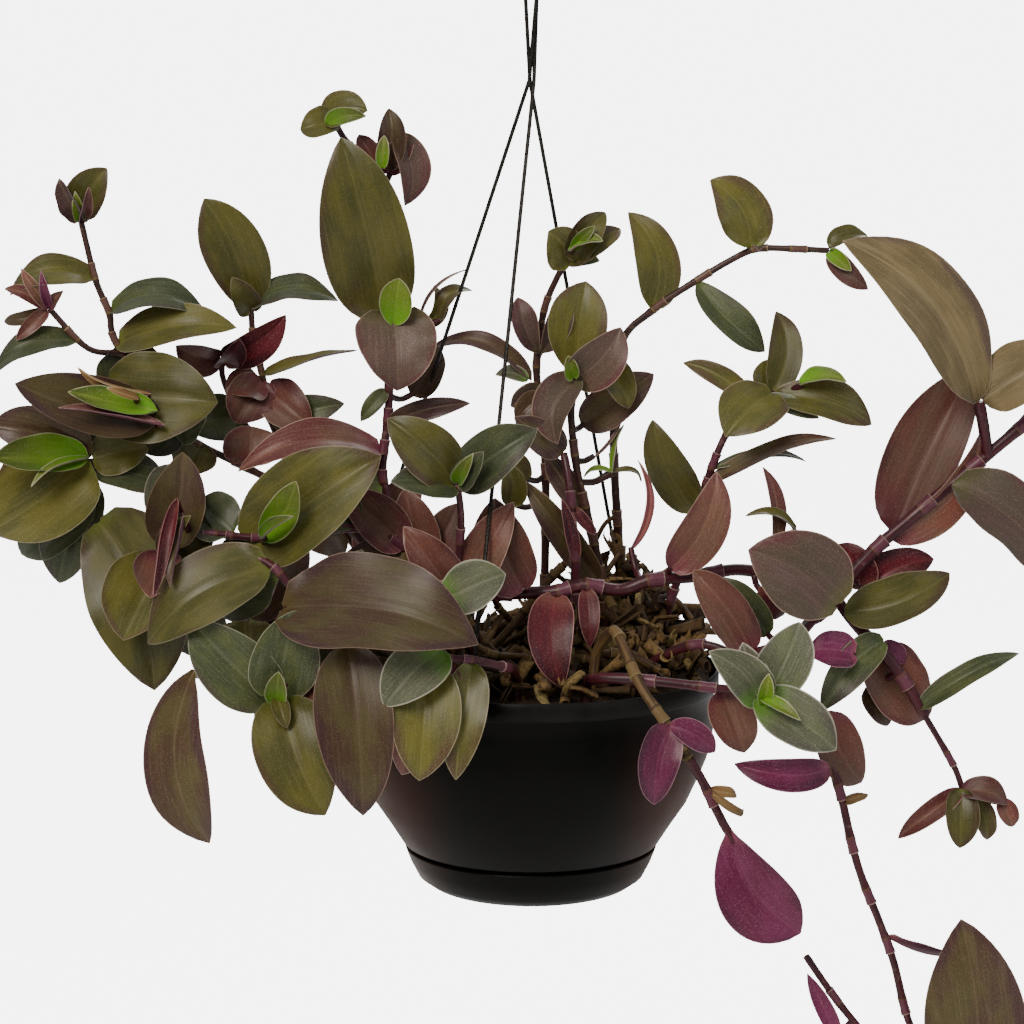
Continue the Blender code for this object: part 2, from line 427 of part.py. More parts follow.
def add_object(name: str, bm: bmesh.types.BMesh, finish: str) -> bpy.types.Object:
    """Make an object from a mesh in millimetres, with faces outward and round sides smooth."""
    bmesh.ops.recalc_face_normals(bm, faces=bm.faces[:])
    bmesh.ops.scale(bm, vec=(MM, MM, MM), verts=bm.verts[:])
    mesh = bpy.data.meshes.new(name)
    bm.to_mesh(mesh)
    bm.free()
    mesh.shade_smooth()
    mesh.set_sharp_from_angle(angle=math.radians(40))
    mesh.materials.append(material(finish))
    obj = bpy.data.objects.new(name, mesh)
    bpy.context.scene.collection.objects.link(obj)
    return obj


def add_boolean(target: bpy.types.Object, operation: str, operands: list) -> None:
    """Join the operands to the target, or cut them from it, in one exact Boolean."""
    helpers = bpy.data.collections.new(f"{target.name}_{operation.lower()}")
    for operand in operands:
        bpy.context.scene.collection.objects.unlink(operand)
        helpers.objects.link(operand)
        operand.hide_render = True
        operand.display_type = "WIRE"
    bpy.context.scene.collection.children.link(helpers)
    boolean = target.modifiers.new(operation.title(), "BOOLEAN")
    boolean.operation = operation
    boolean.operand_type = "COLLECTION"
    boolean.collection = helpers
    boolean.solver = "EXACT"


def turned(name: str, profile: list, finish: str) -> bpy.types.Object:
    """Turn a closed profile of (radius, height) points about the vertical axis."""
    bm = bmesh.new()
    rings = []
    for radius, height in profile:
        if radius == 0:
            rings.append([bm.verts.new((0, 0, height))])
            continue
        angles = [2 * math.pi * step / ROUND_STEPS for step in range(ROUND_STEPS)]
        rings.append([bm.verts.new((radius * math.cos(a), radius * math.sin(a), height)) for a in angles])
    for lower, upper in zip(rings, rings[1:] + rings[:1]):
        for step in range(ROUND_STEPS):
            after = (step + 1) % ROUND_STEPS
            if len(lower) == 1 and len(upper) == 1:
                continue
            if len(lower) == 1:
                bm.faces.new((lower[0], upper[after], upper[step]))
            elif len(upper) == 1:
                bm.faces.new((lower[step], lower[after], upper[0]))
            else:
                bm.faces.new((lower[step], lower[after], upper[after], upper[step]))
    return add_object(name, bm, finish)


def cylinder(centre: Vector, radius: float, depth: float, sides: int) -> bmesh.types.BMesh:
    """Return an upright cylinder in millimetres."""
    bm = bmesh.new()
    bmesh.ops.create_cone(
        bm, cap_ends=True, segments=sides, radius1=radius, radius2=radius, depth=depth,
        matrix=Matrix.Translation(centre),
    )
    return bm


def smooth_route(points: list, steps: int) -> list:
    """Return points along a Catmull-Rom curve through the given ones."""
    ends = [points[0] * 2 - points[1], *points, points[-1] * 2 - points[-2]]
    route = []
    for first, start, end, last in zip(ends, ends[1:], ends[2:], ends[3:]):
        for step in range(steps):
            t = step / steps
            route.append(0.5 * (
                2 * start + (end - first) * t
                + (2 * first - 5 * start + 4 * end - last) * t**2
                + (3 * start - first - 3 * end + last) * t**3
            ))
    return [*route, points[-1]]


def tube(route: list, radii: list, sides: int) -> bmesh.types.BMesh:
    """Return a closed tube along a route, with one radius for each of its points."""
    bm = bmesh.new()
    across = Vector((1, 0, 0))
    rings = []
    for index, centre in enumerate(route):
        before = route[max(index - 1, 0)]
        after = route[min(index + 1, len(route) - 1)]
        along = (after - before).normalized()
        across = (across - along * across.dot(along)).normalized()
        upward = along.cross(across)
        ring = []
        for side in range(sides):
            angle = 2 * math.pi * side / sides
            offset = across * math.cos(angle) + upward * math.sin(angle)
            ring.append(bm.verts.new(centre + offset * radii[index]))
        rings.append(ring)
    for lower, upper in zip(rings, rings[1:]):
        for side in range(sides):
            after = (side + 1) % sides
            bm.faces.new((lower[side], lower[after], upper[after], upper[side]))
    bm.faces.new(rings[0])
    bm.faces.new(rings[-1])
    return bm


def build_pot() -> None:
    """Build the pot: tapered wall, proud rim band, shoulder for the saucer, drainage holes."""
    outer = [
        (RIM_RADIUS, RIM_TOP), (RIM_RADIUS, RIM_TOP - RIM_BAND), (99.4, RIM_TOP - RIM_BAND - 1.0),
        (99.0, 86), (97.6, 77), (92.4, 63), (85.6, 48), (77.6, 36), (69.4, 23.6), (66.0, 21.9),
        (59.5, 9), (55.0, POT_FOOT),
    ]
    inner = [
        (53.6, POT_FOOT + WALL), (64.2, 22.6), (67.8, 24.4), (76.0, 37), (90.8, 64),
        (97.3, 86.2), (97.7, 108), (RIM_RADIUS - WALL, 111),
        (RIM_RADIUS - WALL, RIM_TOP),
    ]
    pot = turned("pot", [(0, POT_FOOT + WALL), *inner, *outer, (0, POT_FOOT)], "black_plastic")
    drains = []
    for hole in range(DRAIN_HOLES):
        angle = 2 * math.pi * (hole + 0.5) / DRAIN_HOLES
        centre = Vector((DRAIN_RING * math.cos(angle), DRAIN_RING * math.sin(angle), POT_FOOT))
        drains.append(add_object(f"drain_{hole}", cylinder(centre, DRAIN_RADIUS, 8, 12), "black_plastic"))
    add_boolean(pot, "DIFFERENCE", drains)


def build_saucer() -> None:
    """Build the drip saucer that the pot stands in."""
    profile = [
        (0, 2.0), (55.8, 2.0), (60.2, 6.6), (64.4, 14.2), (66.6, SAUCER_LIP),
        (68.8, SAUCER_LIP), (66.2, 13.8), (62.0, 5.6), (52.0, 0.0), (0, 0.0),
    ]
    turned("drip_saucer", profile, "black_plastic")


def build_soil() -> None:
    """Build the root ball inside the pot, with a socket for each stem."""
    profile = [
        (0, SOIL_TOP), (45, SOIL_TOP - 2), (76, SOIL_TOP - 7), (96.4, SOIL_EDGE - 2), (95.8, 86),
        (89.2, 64.6), (74.2, 37.6), (62.4, 23.0), (52.4, SOIL_BOTTOM), (0, SOIL_BOTTOM),
    ]
    soil = turned("potting_soil", profile, "soil")
    sockets = []
    for shoot in SHOOTS:
        x, y = shoot.routes[0][0]
        centre = Vector((x, y, SOIL_TOP))
        radius = shoot.radii[0] + 5 * GAP
        mesh = cylinder(centre, radius, 2 * (ROOT_DEPTH + GAP), 8)
        sockets.append(add_object(f"socket_{shoot.name}", mesh, "soil"))
    add_boolean(soil, "DIFFERENCE", sockets)


def polar(radius: float, azimuth: float, height: float) -> Vector:
    """Return the point at a radius, an azimuth in degrees and a height."""
    angle = math.radians(azimuth)
    return Vector((radius * math.cos(angle), radius * math.sin(angle), height))


def build_clip(side: str, azimuth: float) -> None:
    """Build one clip: legs on both sides of the rim, and a tapered post for the wire."""
    bm = bmesh.new()
    inner = RIM_RADIUS - WALL - 3 * GAP
    outer = RIM_RADIUS + 2 * GAP
    half = CLIP_WIDTH / 2
    section = [
        (inner - CLIP_LEG, RIM_TOP - 7), (inner, RIM_TOP - 7), (inner, RIM_TOP + GAP),
        (outer, RIM_TOP + GAP), (outer, RIM_TOP - 9), (outer + CLIP_LEG, RIM_TOP - 9),
        (outer + CLIP_LEG, RIM_TOP + 3), (inner + 1.4, CLIP_TOP), (inner - CLIP_LEG, CLIP_TOP),
    ]
    front = [bm.verts.new((radius, -half, height)) for radius, height in section]
    face = bm.faces.new(front)
    swept = bmesh.ops.extrude_face_region(bm, geom=[face])
    moved = [item for item in swept["geom"] if isinstance(item, bmesh.types.BMVert)]
    bmesh.ops.translate(bm, vec=(0, CLIP_WIDTH, 0), verts=moved)
    bmesh.ops.rotate(bm, matrix=Matrix.Rotation(math.radians(azimuth), 3, "Z"), verts=bm.verts[:])
    add_object(f"hanger_clip_{side}", bm, "black_plastic")


def build_hanger() -> None:
    """Build the three wires, their clips and the hook that they end in."""
    for side, azimuth in CLIP_AZIMUTHS.items():
        build_clip(side, azimuth)
        foot = polar(RIM_RADIUS - WALL - 1.0, azimuth, CLIP_TOP + 3 * GAP)
        crossing = polar(WIRE_TWIST_RADIUS, azimuth + 60, WIRE_TWIST_HEIGHT)
        top = polar(WIRE_TOP_RADIUS, azimuth + 150, WIRE_TOP)
        above = top + Vector((0, 0, -4))
        below = foot.lerp(crossing, 0.97)
        route = [foot, foot.lerp(crossing, 0.5), below, crossing, crossing.lerp(above, 0.5), above, top]
        add_object(f"hanger_wire_{side}", tube(route, [WIRE_RADIUS] * len(route), 6), "hanger_steel")
    build_hook()


def build_hook() -> None:
    """Build the hook: a round plate that takes the wires, a shank and an open bow above it."""
    bottom = WIRE_TOP + GAP
    plate_top = bottom + HOOK_PLATE_HEIGHT
    shank_top = plate_top + 18
    centre = Vector((0, 0, shank_top + HOOK_BOW))
    route = [Vector((0, 0, plate_top - 2)), Vector((0, 0, shank_top - 6))]
    for step in range(15):
        angle = math.radians(-90 + 17 * step)
        route.append(centre + Vector((HOOK_BOW * math.cos(angle), 0, HOOK_BOW * math.sin(angle))))
    plate = cylinder(Vector((0, 0, bottom + HOOK_PLATE_HEIGHT / 2)), HOOK_PLATE_RADIUS,
                     HOOK_PLATE_HEIGHT, 20)
    hook = add_object("hanger_hook", plate, "hanger_steel")
    bow = add_object("hook_bow", tube(route, [HOOK_WIRE] * len(route), 8), "hanger_steel")
    add_boolean(hook, "UNION", [bow])


def stem_route(route: tuple) -> list:
    """Return a stem's route as vectors: a rooted one starts upright below the soil's surface."""
    points = [Vector(point) for point in route if len(point) == 3]
    if len(route[0]) == 3:
        return points
    x, y = route[0]
    heights = (SOIL_TOP - ROOT_DEPTH, SOIL_TOP - 10, SOIL_TOP + 1)
    return [*(Vector((x, y, height)) for height in heights), *points]


def route_point(route: tuple, at: float) -> tuple:
    """Return the place and direction on a route, counting its own points from 0."""
    rooted = 2 if len(route[0]) == 2 else 0
    steps = 8
    smooth = smooth_route(stem_route(route), steps)
    index = min(round((at + rooted) * steps), len(smooth) - 1)
    before = smooth[max(index - 1, 0)]
    after = smooth[min(index + 1, len(smooth) - 1)]
    return smooth[index], (after - before).normalized()


def half_width(t: float) -> float:
    """Return half the blade's breadth at t of its length, for a breadth of 1."""
    return 0.5 * (0.08 + 0.92 * max(math.sin(math.pi * t**0.74), 0) ** 0.72) * (1 - 0.5 * t**8)


def blade(leaf: Leaf, start: Vector) -> bmesh.types.BMesh:
    """Return a leaf's blade as a thin closed solid from its start to its tip."""
    tip = Vector(leaf.tip)
    along = (tip - start).normalized()
    length = (tip - start).length
    face = Vector(leaf.face)
    normal = (face - along * face.dot(along)).normalized()
    side = along.cross(normal)
    bm = bmesh.new()
    rings = []
    for t in (0.0, 0.18, 0.5, 0.82, 1.0) if leaf.name else (0.0, 0.26, 0.72, 1.0):
        bow = 4 * t * (1 - t) * length
        centre = start + along * (length * t) + normal * (leaf.arch * bow) + side * (leaf.sway * bow)
        turn = Matrix.Rotation(math.radians(leaf.twist * t), 3, along)
        half = max(leaf.width * half_width(t), 0.5) if t < 1 else 0.4
        cup = math.radians(leaf.cup)
        reach = turn @ side * (half * math.cos(cup))
        lift = turn @ normal * (half * math.sin(cup))
        thick = turn @ normal * (BLADE_THICKNESS / 2)
        corners = (centre + reach + lift, centre + thick, centre - reach + lift, centre - thick)
        rings.append([bm.verts.new(corner) for corner in corners])
    for lower, upper in zip(rings, rings[1:]):
        for corner in range(4):
            after = (corner + 1) % 4
            bm.faces.new((lower[corner], lower[after], upper[after], upper[corner]))
    bm.faces.new(rings[0])
    bm.faces.new(rings[-1])
    bmesh.ops.triangulate(bm, faces=bm.faces[:])
    return bm


def leaf_start(shoot: Shoot, leaf: Leaf) -> Vector:
    """Return where a blade starts: inside its stem, or just clear of it for a piece of its own."""
    place, along = route_point(shoot.routes[leaf.stem], leaf.at)
    outward = Vector(leaf.tip) - place
    if not leaf.name:
        return place - along + outward.normalized() * 0.5
    sideways = outward - along * outward.dot(along)
    if sideways.length < 0.5 * outward.length:
        return place + outward.normalized() * (shoot.radii[1] + 3 * GAP)
    return place + sideways.normalized() * (shoot.radii[0] + 0.04 * leaf.width + 2 * GAP)


def build_shoot(shoot: Shoot) -> None:
    """Build one shoot: its stems, the small leaves grown on them and the large leaves."""
    stems = []
    first, last = shoot.radii
    for number, route in enumerate(shoot.routes):
        points = stem_route(route)
        smooth = smooth_route(points, 1 if len(points) > 8 else 2)
        start = first if number == 0 else 0.9 * last
        radii = [start + (last * 0.9 - start) * index / len(smooth) for index in range(len(smooth))]
        name = shoot.name if number == 0 else f"{shoot.name}_side_{number}"
        stems.append(add_object(name, tube(smooth, radii, STEM_SIDES), shoot.finish))
    grown = stems[1:]
    for number, leaf in enumerate(shoot.leaves):
        mesh = blade(leaf, leaf_start(shoot, leaf))
        made = add_object(leaf.name or f"{shoot.name}_leaf_{number}", mesh, leaf.finish)
        if not leaf.name:
            grown.append(made)
    add_boolean(stems[0], "UNION", grown)


def main() -> None:
    """Build the whole object."""
    clear_scene()
    build_pot()
    build_saucer()
    build_soil()
    build_hanger()
    for shoot in SHOOTS:
        build_shoot(shoot)


main()
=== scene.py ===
"""Looks of a potted tradescantia: its leaves, stems, litter, pot and hanger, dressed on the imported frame.

The frame's origin is at the middle of the saucer's underside, +Z is up and the best side faces -Y.
Stem routes, leaf tips and sizes in the tables are in millimetres; meshes are in metres.
"""

from __future__ import annotations

import logging
import math
import random
from dataclasses import dataclass, field
from enum import Enum

import bpy
import numpy as np
from mathutils import Matrix, Vector, noise


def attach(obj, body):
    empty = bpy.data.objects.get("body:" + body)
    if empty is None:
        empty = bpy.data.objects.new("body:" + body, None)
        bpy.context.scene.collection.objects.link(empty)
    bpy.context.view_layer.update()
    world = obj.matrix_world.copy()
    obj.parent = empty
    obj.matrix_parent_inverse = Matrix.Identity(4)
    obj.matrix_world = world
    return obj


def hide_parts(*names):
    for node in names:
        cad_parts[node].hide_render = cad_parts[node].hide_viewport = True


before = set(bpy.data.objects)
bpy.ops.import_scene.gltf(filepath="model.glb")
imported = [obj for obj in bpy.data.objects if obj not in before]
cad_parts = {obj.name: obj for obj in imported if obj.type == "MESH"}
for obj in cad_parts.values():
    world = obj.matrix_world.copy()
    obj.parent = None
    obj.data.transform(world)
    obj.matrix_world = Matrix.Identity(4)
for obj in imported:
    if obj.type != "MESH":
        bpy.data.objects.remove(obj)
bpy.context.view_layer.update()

LOG = logging.getLogger("tradescantia")
MM = 0.001
ROOT = "root"

# Where a leaf's upper side looks.
FRONT = (0.0, -1.0, 0.25)
UP = (0.0, -0.9, 1.0)
# The place of a leaf that sits on a twig of its own, not straight on its stem.
TWIG = -1


class Skin(Enum):
    """What a blade's upper face looks like: its colour, age and side."""

    OLIVE = "olive"
    BRONZE = "bronze"
    TEAL = "teal"
    LIME = "lime"
    PLUM = "plum"
    MAGENTA = "magenta"
    HAIRY = "hairy"
    DRY = "dry"
    VELVET = "velvet"
    CRIMSON = "crimson"
    SALMON = "salmon"
    KHAKI = "khaki"


class Bark(Enum):
    """Which age of stem a shoot has."""

    STEM = "stem"
    BROWN_STEM = "brown_stem"
    OLD_STEM = "old_stem"


class Slot(Enum):
    """The record's material slots."""

    POT = "pot_plastic"
    CLIP = "clip_plastic"
    STEEL = "hanger_steel"
    SOIL = "soil"
    STEM = "stem"
    OLD_STEM = "old_stem"
    GREEN = "leaf_green"
    BRONZE = "leaf_bronze"
    PURPLE = "leaf_purple"


@dataclass(frozen=True)
class Leaf:
    """One blade: where it sits on its stem, its tip, and how it is held.

    at counts the points of the stem's route; at TWIG, a leaf starts at its base on a short twig.
    face is where the upper side looks. arch bows the midrib towards that side and sway bows it
    sideways (both as parts of the length), cup lifts the margins and twist turns the blade towards
    its tip (both in degrees), and curl bends the last third back, as a part of the length. belly
    below 0.82 puts the broadest place nearer the stem. stem is the route that the leaf sits on. A
    leaf with a name is a piece of its own.
    """

    at: float
    tip: tuple
    width: float
    skin: Skin
    face: tuple = FRONT
    arch: float = 0.1
    cup: float = 15
    sway: float = 0.0
    twist: float = 0
    curl: float = 0.06
    belly: float = 0.82
    stem: int = 0
    base: tuple = ()
    name: str = ""


@dataclass(frozen=True)
class Shoot:
    """One rooted shoot: the routes of its stem and side stems, their radii and its leaves.

    A route that starts with two numbers roots in the soil there. radii are the main stem's, at the
    foot and at the end. young lists the routes that are living stem on an old shoot, and slim the
    thin ones.
    """

    name: str
    bark: Bark
    radii: tuple
    routes: tuple
    leaves: tuple
    young: tuple = ()
    slim: tuple = ()


SHOOTS = (
    Shoot("shoot_upper_left", Bark.BROWN_STEM, (2.7, 1.9), (
        ((-44, 14), (-60, 12, 140), (-103, 2, 200), (-152, -4, 228), (-190, -6, 250),
         (-220, -6, 294), (-224, -6, 311), (-231, -6, 329), (-238, -6, 360)),
        ((-218, -6, 290), (-235, -12, 293), (-254, -16, 314)),
        ((-190, -6, 250), (-199, -18, 254), (-207, -27, 260)),
    ), (
        Leaf(8, (-223, -12, 387), 21, Skin.OLIVE, arch=0.05, cup=20, sway=-0.08),
        Leaf(8, (-247, -20, 381), 15, Skin.BRONZE, face=(-0.5, -1, 0.2), arch=0.12, cup=40, sway=0.12),
        Leaf(8, (-230, -24, 377), 9, Skin.PLUM, face=(0.6, -1, 0.2), arch=0.14, cup=50, sway=-0.1),
        Leaf(8, (-238, -22, 374), 8, Skin.LIME, cup=40, sway=0.05),
        Leaf(7, (-276, -10, 322), 23, Skin.OLIVE, face=UP, arch=0.24, cup=12),
        Leaf(6, (-171, -10, 311), 22, Skin.TEAL, face=UP, arch=0.26, cup=12),
        Leaf(5, (-156, -22, 306), 25, Skin.OLIVE, face=(0, -0.9, 0.7), arch=0.14, cup=12,
             name="leaf_upper_left_side"),
        Leaf(1.2, (-283, -22, 282), 19, Skin.TEAL, face=UP, arch=0.2, stem=1),
        Leaf(2, (-276, -20, 325), 9, Skin.PLUM, cup=38, sway=0.1, curl=0.25, stem=1),
        Leaf(2, (-279, -16, 308), 9, Skin.BRONZE, cup=38, sway=-0.1, curl=0.25, stem=1),
        Leaf(2, (-248, -22, 322), 8, Skin.PLUM, cup=38, curl=0.3, stem=1),
        Leaf(2, (-266, -24, 334), 8, Skin.PLUM, cup=35, curl=0.2, stem=1),
        Leaf(2, (-256, -26, 332), 6, Skin.MAGENTA, cup=35, curl=0.2, stem=1),
        Leaf(2, (-270, -24, 298), 9, Skin.PLUM, face=(0, -1, -0.2), cup=35, stem=1),
        Leaf(TWIG, (-164, -44, 268), 47, Skin.OLIVE, face=(0.1, -1, 0.35), arch=0.06, cup=10, sway=0.02,
             base=(-222, -28, 270), name="leaf_left_rosette_back"),
        Leaf(TWIG, (-264, -58, 279), 34, Skin.BRONZE, face=(0.1, -1, 0.5), arch=-0.06, cup=30, sway=-0.05,
             base=(-191, -42, 259)),
        Leaf(TWIG, (-236, -62, 275), 17, Skin.LIME, face=(0, -1, 0.6), arch=-0.05, cup=42,
             base=(-193, -50, 263)),
        Leaf(TWIG, (-240, -68, 268), 8, Skin.PLUM, face=(0, -1, 1.4), arch=-0.06, cup=55, sway=0.08,
             base=(-189, -54, 256)),
        Leaf(TWIG, (-232, -60, 285), 8, Skin.DRY, face=(0, -1, -0.6), arch=-0.05, cup=60, sway=-0.1,
             twist=20, base=(-196, -50, 272)),
        Leaf(TWIG, (-216, -64, 276), 6, Skin.DRY, arch=0.05, cup=50, base=(-202, -54, 270)),
        Leaf(4, (-206, -14, 238), 22, Skin.TEAL),
        Leaf(4, (-172, -18, 262), 24, Skin.TEAL),
        Leaf(3.6, (-184, -18, 226), 24, Skin.OLIVE),
        Leaf(5, (-216, 8, 268), 30, Skin.TEAL, face=(0.2, -1, 0.4)),
        Leaf(3, (-150, 6, 250), 30, Skin.PLUM, face=(0.2, -1, 0.4)),
        Leaf(4.6, (-196, -2, 282), 26, Skin.OLIVE, face=(0.2, -1, 0.4)),
    )),
    Shoot("shoot_left_upright", Bark.BROWN_STEM, (2.6, 1.9), (
        ((-62, 34), (-72, 32, 140), (-92, 29, 174), (-125, 25, 218), (-142, 19, 252),
         (-145, 16, 274), (-150, 15, 297), (-151, 15, 312)),
        ((-138, 20, 240), (-155, 22, 248), (-167, 22, 272), (-168, 22, 286)),
    ), (
        Leaf(7, (-174, 4, 371), 32, Skin.OLIVE, arch=0.04, cup=14, sway=0.06, belly=1.05,
             name="leaf_left_upright"),
        Leaf(7, (-104, 4, 319), 20, Skin.TEAL, face=UP, arch=0.22, cup=12, belly=1.0),
        Leaf(7, (-158, -2, 328), 17, Skin.OLIVE, cup=38, curl=0.2),
        Leaf(5.1, (-94, 4, 293), 12, Skin.OLIVE, face=(0, -0.8, 0.8), cup=20, sway=0.1, twist=50),
        Leaf(5, (-159, 4, 252), 26, Skin.PLUM, face=(0, -1, -0.2), arch=0.12, cup=12),
        Leaf(4.8, (-164, 6, 270), 24, Skin.PLUM, face=UP, arch=0.12, cup=12),
        Leaf(4.8, (-118, 2, 250), 24, Skin.PLUM, cup=12),
        Leaf(4, (-102, 8, 262), 18, Skin.TEAL, cup=12),
        Leaf(3, (-132, 6, 308), 20, Skin.CRIMSON, face=(0.3, -1, -0.2), cup=24, sway=0.05, stem=1),
        Leaf(3, (-190, 6, 292), 20, Skin.PLUM, face=(-0.3, -1, -0.2), arch=0.12, cup=24, sway=-0.05,
             stem=1),
        Leaf(2.8, (-156, 2, 296), 17, Skin.CRIMSON, face=(0.5, -1, -0.2), cup=30, stem=1),
        Leaf(1.2, (-186, 2, 250), 26, Skin.TEAL, stem=1),
        Leaf(3, (-84, 14, 214), 28, Skin.PLUM),
        Leaf(2.4, (-128, 12, 190), 32, Skin.BRONZE, face=(-0.3, -1, 0.4)),
        Leaf(2, (-60, 10, 226), 26, Skin.PLUM, face=(0.3, -1, 0.4)),
    )),
    Shoot("shoot_far_left", Bark.BROWN_STEM, (2.7, 2.0), (
        ((-74, -12), (-82, -16, 136), (-112, -26, 146), (-152, -32, 152), (-192, -34, 166),
         (-222, -31, 194), (-230, -28, 222), (-232, -28, 236)),
    ), (
        Leaf(7, (-280, -56, 203), 52, Skin.OLIVE, face=(-0.1, -1, 0.3), arch=-0.06, cup=16, sway=-0.04),
        Leaf(7, (-282, -40, 254), 28, Skin.BRONZE, face=(0.1, -1, 0.1), arch=0.05, cup=22, sway=0.08),
        Leaf(7, (-275, -64, 241), 24, Skin.LIME, face=(0, -1, 0.45), arch=-0.05, cup=36),
        Leaf(7, (-257, -60, 229), 7, Skin.LIME, face=(-0.6, -1, 0.4), arch=0.05, cup=40, curl=0.2),
        Leaf(7, (-202, -26, 241), 24, Skin.OLIVE, arch=0.08),
        Leaf(7, (-250, -12, 264), 22, Skin.TEAL, arch=0.08),
        Leaf(5.9, (-274, -18, 183), 32, Skin.TEAL, cup=12),
        Leaf(6.2, (-252, -22, 168), 30, Skin.TEAL, cup=12),
        Leaf(6.5, (-190, -24, 220), 26, Skin.TEAL, face=UP, arch=0.12, cup=12),
        Leaf(5, (-178, -10, 176), 34, Skin.OLIVE, face=(0.1, -1, 0.5), cup=12),
        Leaf(3, (-150, -30, 122), 34, Skin.OLIVE, face=(0, -1, 0.4), cup=12),
        Leaf(3, (-120, -16, 190), 32, Skin.BRONZE, face=(0, -1, 0.4), cup=12),
        Leaf(4, (-168, -16, 128), 30, Skin.TEAL, face=(0, -1, 0.4), cup=12),
        Leaf(TWIG, (-196, -74, 122), 52, Skin.OLIVE, face=(-0.2, -1, 0.3), cup=9, sway=-0.12, belly=0.9,
             base=(-226, -42, 204), name="leaf_left_drooping"),
    )),
    Shoot("shoot_front_left_arching", Bark.STEM, (2.9, 2.0), (
        ((-44, -34), (-48, -40, 145), (-52, -44, 174), (-66, -50, 192), (-91, -54, 203),
         (-126, -62, 198), (-143, -64, 199), (-172, -66, 201), (-189, -68, 191)),
    ), (
        Leaf(8, (-206, -96, 153), 40, Skin.OLIVE, face=(-0.1, -1, 0.3), arch=-0.04, cup=24, sway=0.02,
             name="leaf_front_left_crown"),
        Leaf(TWIG, (-177, -78, 244), 30, Skin.BRONZE, face=(0.1, -1, 0.2), arch=-0.04, cup=26, sway=0.06,
             base=(-187, -68, 194)),
        Leaf(8, (-191, -100, 175), 27, Skin.PLUM, face=(0, -1, 0.2), arch=-0.05, cup=36),
        Leaf(TWIG, (-187, -108, 176), 11, Skin.CRIMSON, face=(0.5, -1, 0.2), arch=0.05, cup=55, sway=0.06,
             twist=30, base=(-179, -84, 222)),
        Leaf(TWIG, (-182, -106, 182), 12, Skin.BRONZE, face=(-0.7, -1, 0.2), arch=0.05, cup=50, sway=-0.05,
             base=(-176, -82, 214)),
        Leaf(8, (-172, -92, 214), 12, Skin.OLIVE, face=(-0.4, -1, 0.1), arch=0.06, cup=35),
        Leaf(7.2, (-181, -40, 237), 30, Skin.TEAL, face=(0.2, -1, 0.2), arch=0.05, sway=-0.1),
        Leaf(6.4, (-174, -50, 217), 27, Skin.TEAL, face=(0.1, -1, 0.5), cup=14),
        Leaf(6.6, (-206, -38, 184), 34, Skin.OLIVE, face=(-0.2, -1, 0.4), cup=14),
        Leaf(5.6, (-150, -56, 168), 34, Skin.TEAL, face=(-0.2, -1, 0.4), cup=14),
        Leaf(TWIG, (-119, -90, 231), 20, Skin.LIME, face=(-0.1, -1, 0.25), arch=-0.05, cup=34, sway=0.06,
             belly=1.0, base=(-138, -72, 199)),
        Leaf(TWIG, (-121, -92, 214), 9, Skin.LIME, face=(-0.5, -1, 0.4), cup=50, twist=20,
             base=(-137, -78, 201)),
        Leaf(TWIG, (-78, -78, 243), 46, Skin.OLIVE, face=(0, -1, 0.45), arch=0.07, cup=12, sway=0.02,
             base=(-145, -62, 193), name="leaf_left_broad"),
        Leaf(3, (-96, -52, 222), 24, Skin.PLUM, arch=0.08),
        Leaf(3, (-104, -46, 160), 34, Skin.BRONZE, arch=0.08),
        Leaf(2.4, (-66, -46, 222), 22, Skin.PLUM, arch=0.08),
        Leaf(2.2, (-38, -42, 214), 20, Skin.PLUM, arch=0.08),
        Leaf(4, (-128, -48, 236), 26, Skin.TEAL, face=(0.1, -1, 0.4), arch=0.08),
    )),
    Shoot("shoot_front_left_low", Bark.STEM, (3.0, 2.3), (
        ((-46, -62), (-56, -70, 128), (-78, -88, 150), (-100, -94, 166), (-118, -94, 176),
         (-131, -92, 189), (-144, -88, 194)),
    ), (
        Leaf(TWIG, (-29, -138, 161), 50, Skin.BRONZE, face=(0.05, -0.95, 0.6), cup=9, sway=-0.05,
             base=(-125, -98, 168), name="leaf_front_broad"),
        Leaf(5, (-194, -100, 152), 37, Skin.OLIVE, face=(-0.1, -0.9, 0.6), arch=0.14, cup=10, sway=0.03,
             name="leaf_left_low"),
        Leaf(5.4, (-156, -70, 176), 22, Skin.PLUM),
        Leaf(4.6, (-166, -62, 168), 32, Skin.TEAL),
        Leaf(3, (-86, -84, 196), 17, Skin.TEAL),
        Leaf(3, (-124, -72, 132), 34, Skin.OLIVE),
        Leaf(2, (-76, -78, 112), 34, Skin.BRONZE, face=(0, -1, 0.3)),
        Leaf(2, (-30, -84, 176), 26, Skin.PLUM, face=(0, -1, 0.5)),
    )),
    Shoot("shoot_centre_left", Bark.STEM, (3.0, 2.0), (
        ((-58, -8), (-61, -11, 150), (-62, -12, 178), (-71, -11, 196), (-79, -9, 221),
         (-79, -7, 236), (-77, -5, 253), (-76, -4, 270), (-78, -2, 308), (-80, 0, 345),
         (-82, 0, 374)),
        ((-82, 0, 370), (-90, 0, 392), (-99, 0, 403), (-103, -1, 410)),
    ), (
        Leaf(TWIG, (-75, -10, 418), 17, Skin.BRONZE, arch=0.12, cup=34, sway=0.1, base=(-78, -6, 387)),
        Leaf(TWIG, (-62, -6, 403), 15, Skin.PLUM, face=(0.3, -1, 0.2), cup=30, sway=-0.1,
             base=(-75, -4, 384)),
        Leaf(TWIG, (-66, -8, 368), 18, Skin.VELVET, face=(0.4, -1, 0.3), arch=0.14, cup=20, sway=-0.15,
             base=(-72, -6, 404)),
        Leaf(TWIG, (-91, -2, 405), 12, Skin.PLUM, cup=25, base=(-80, -2, 387)),
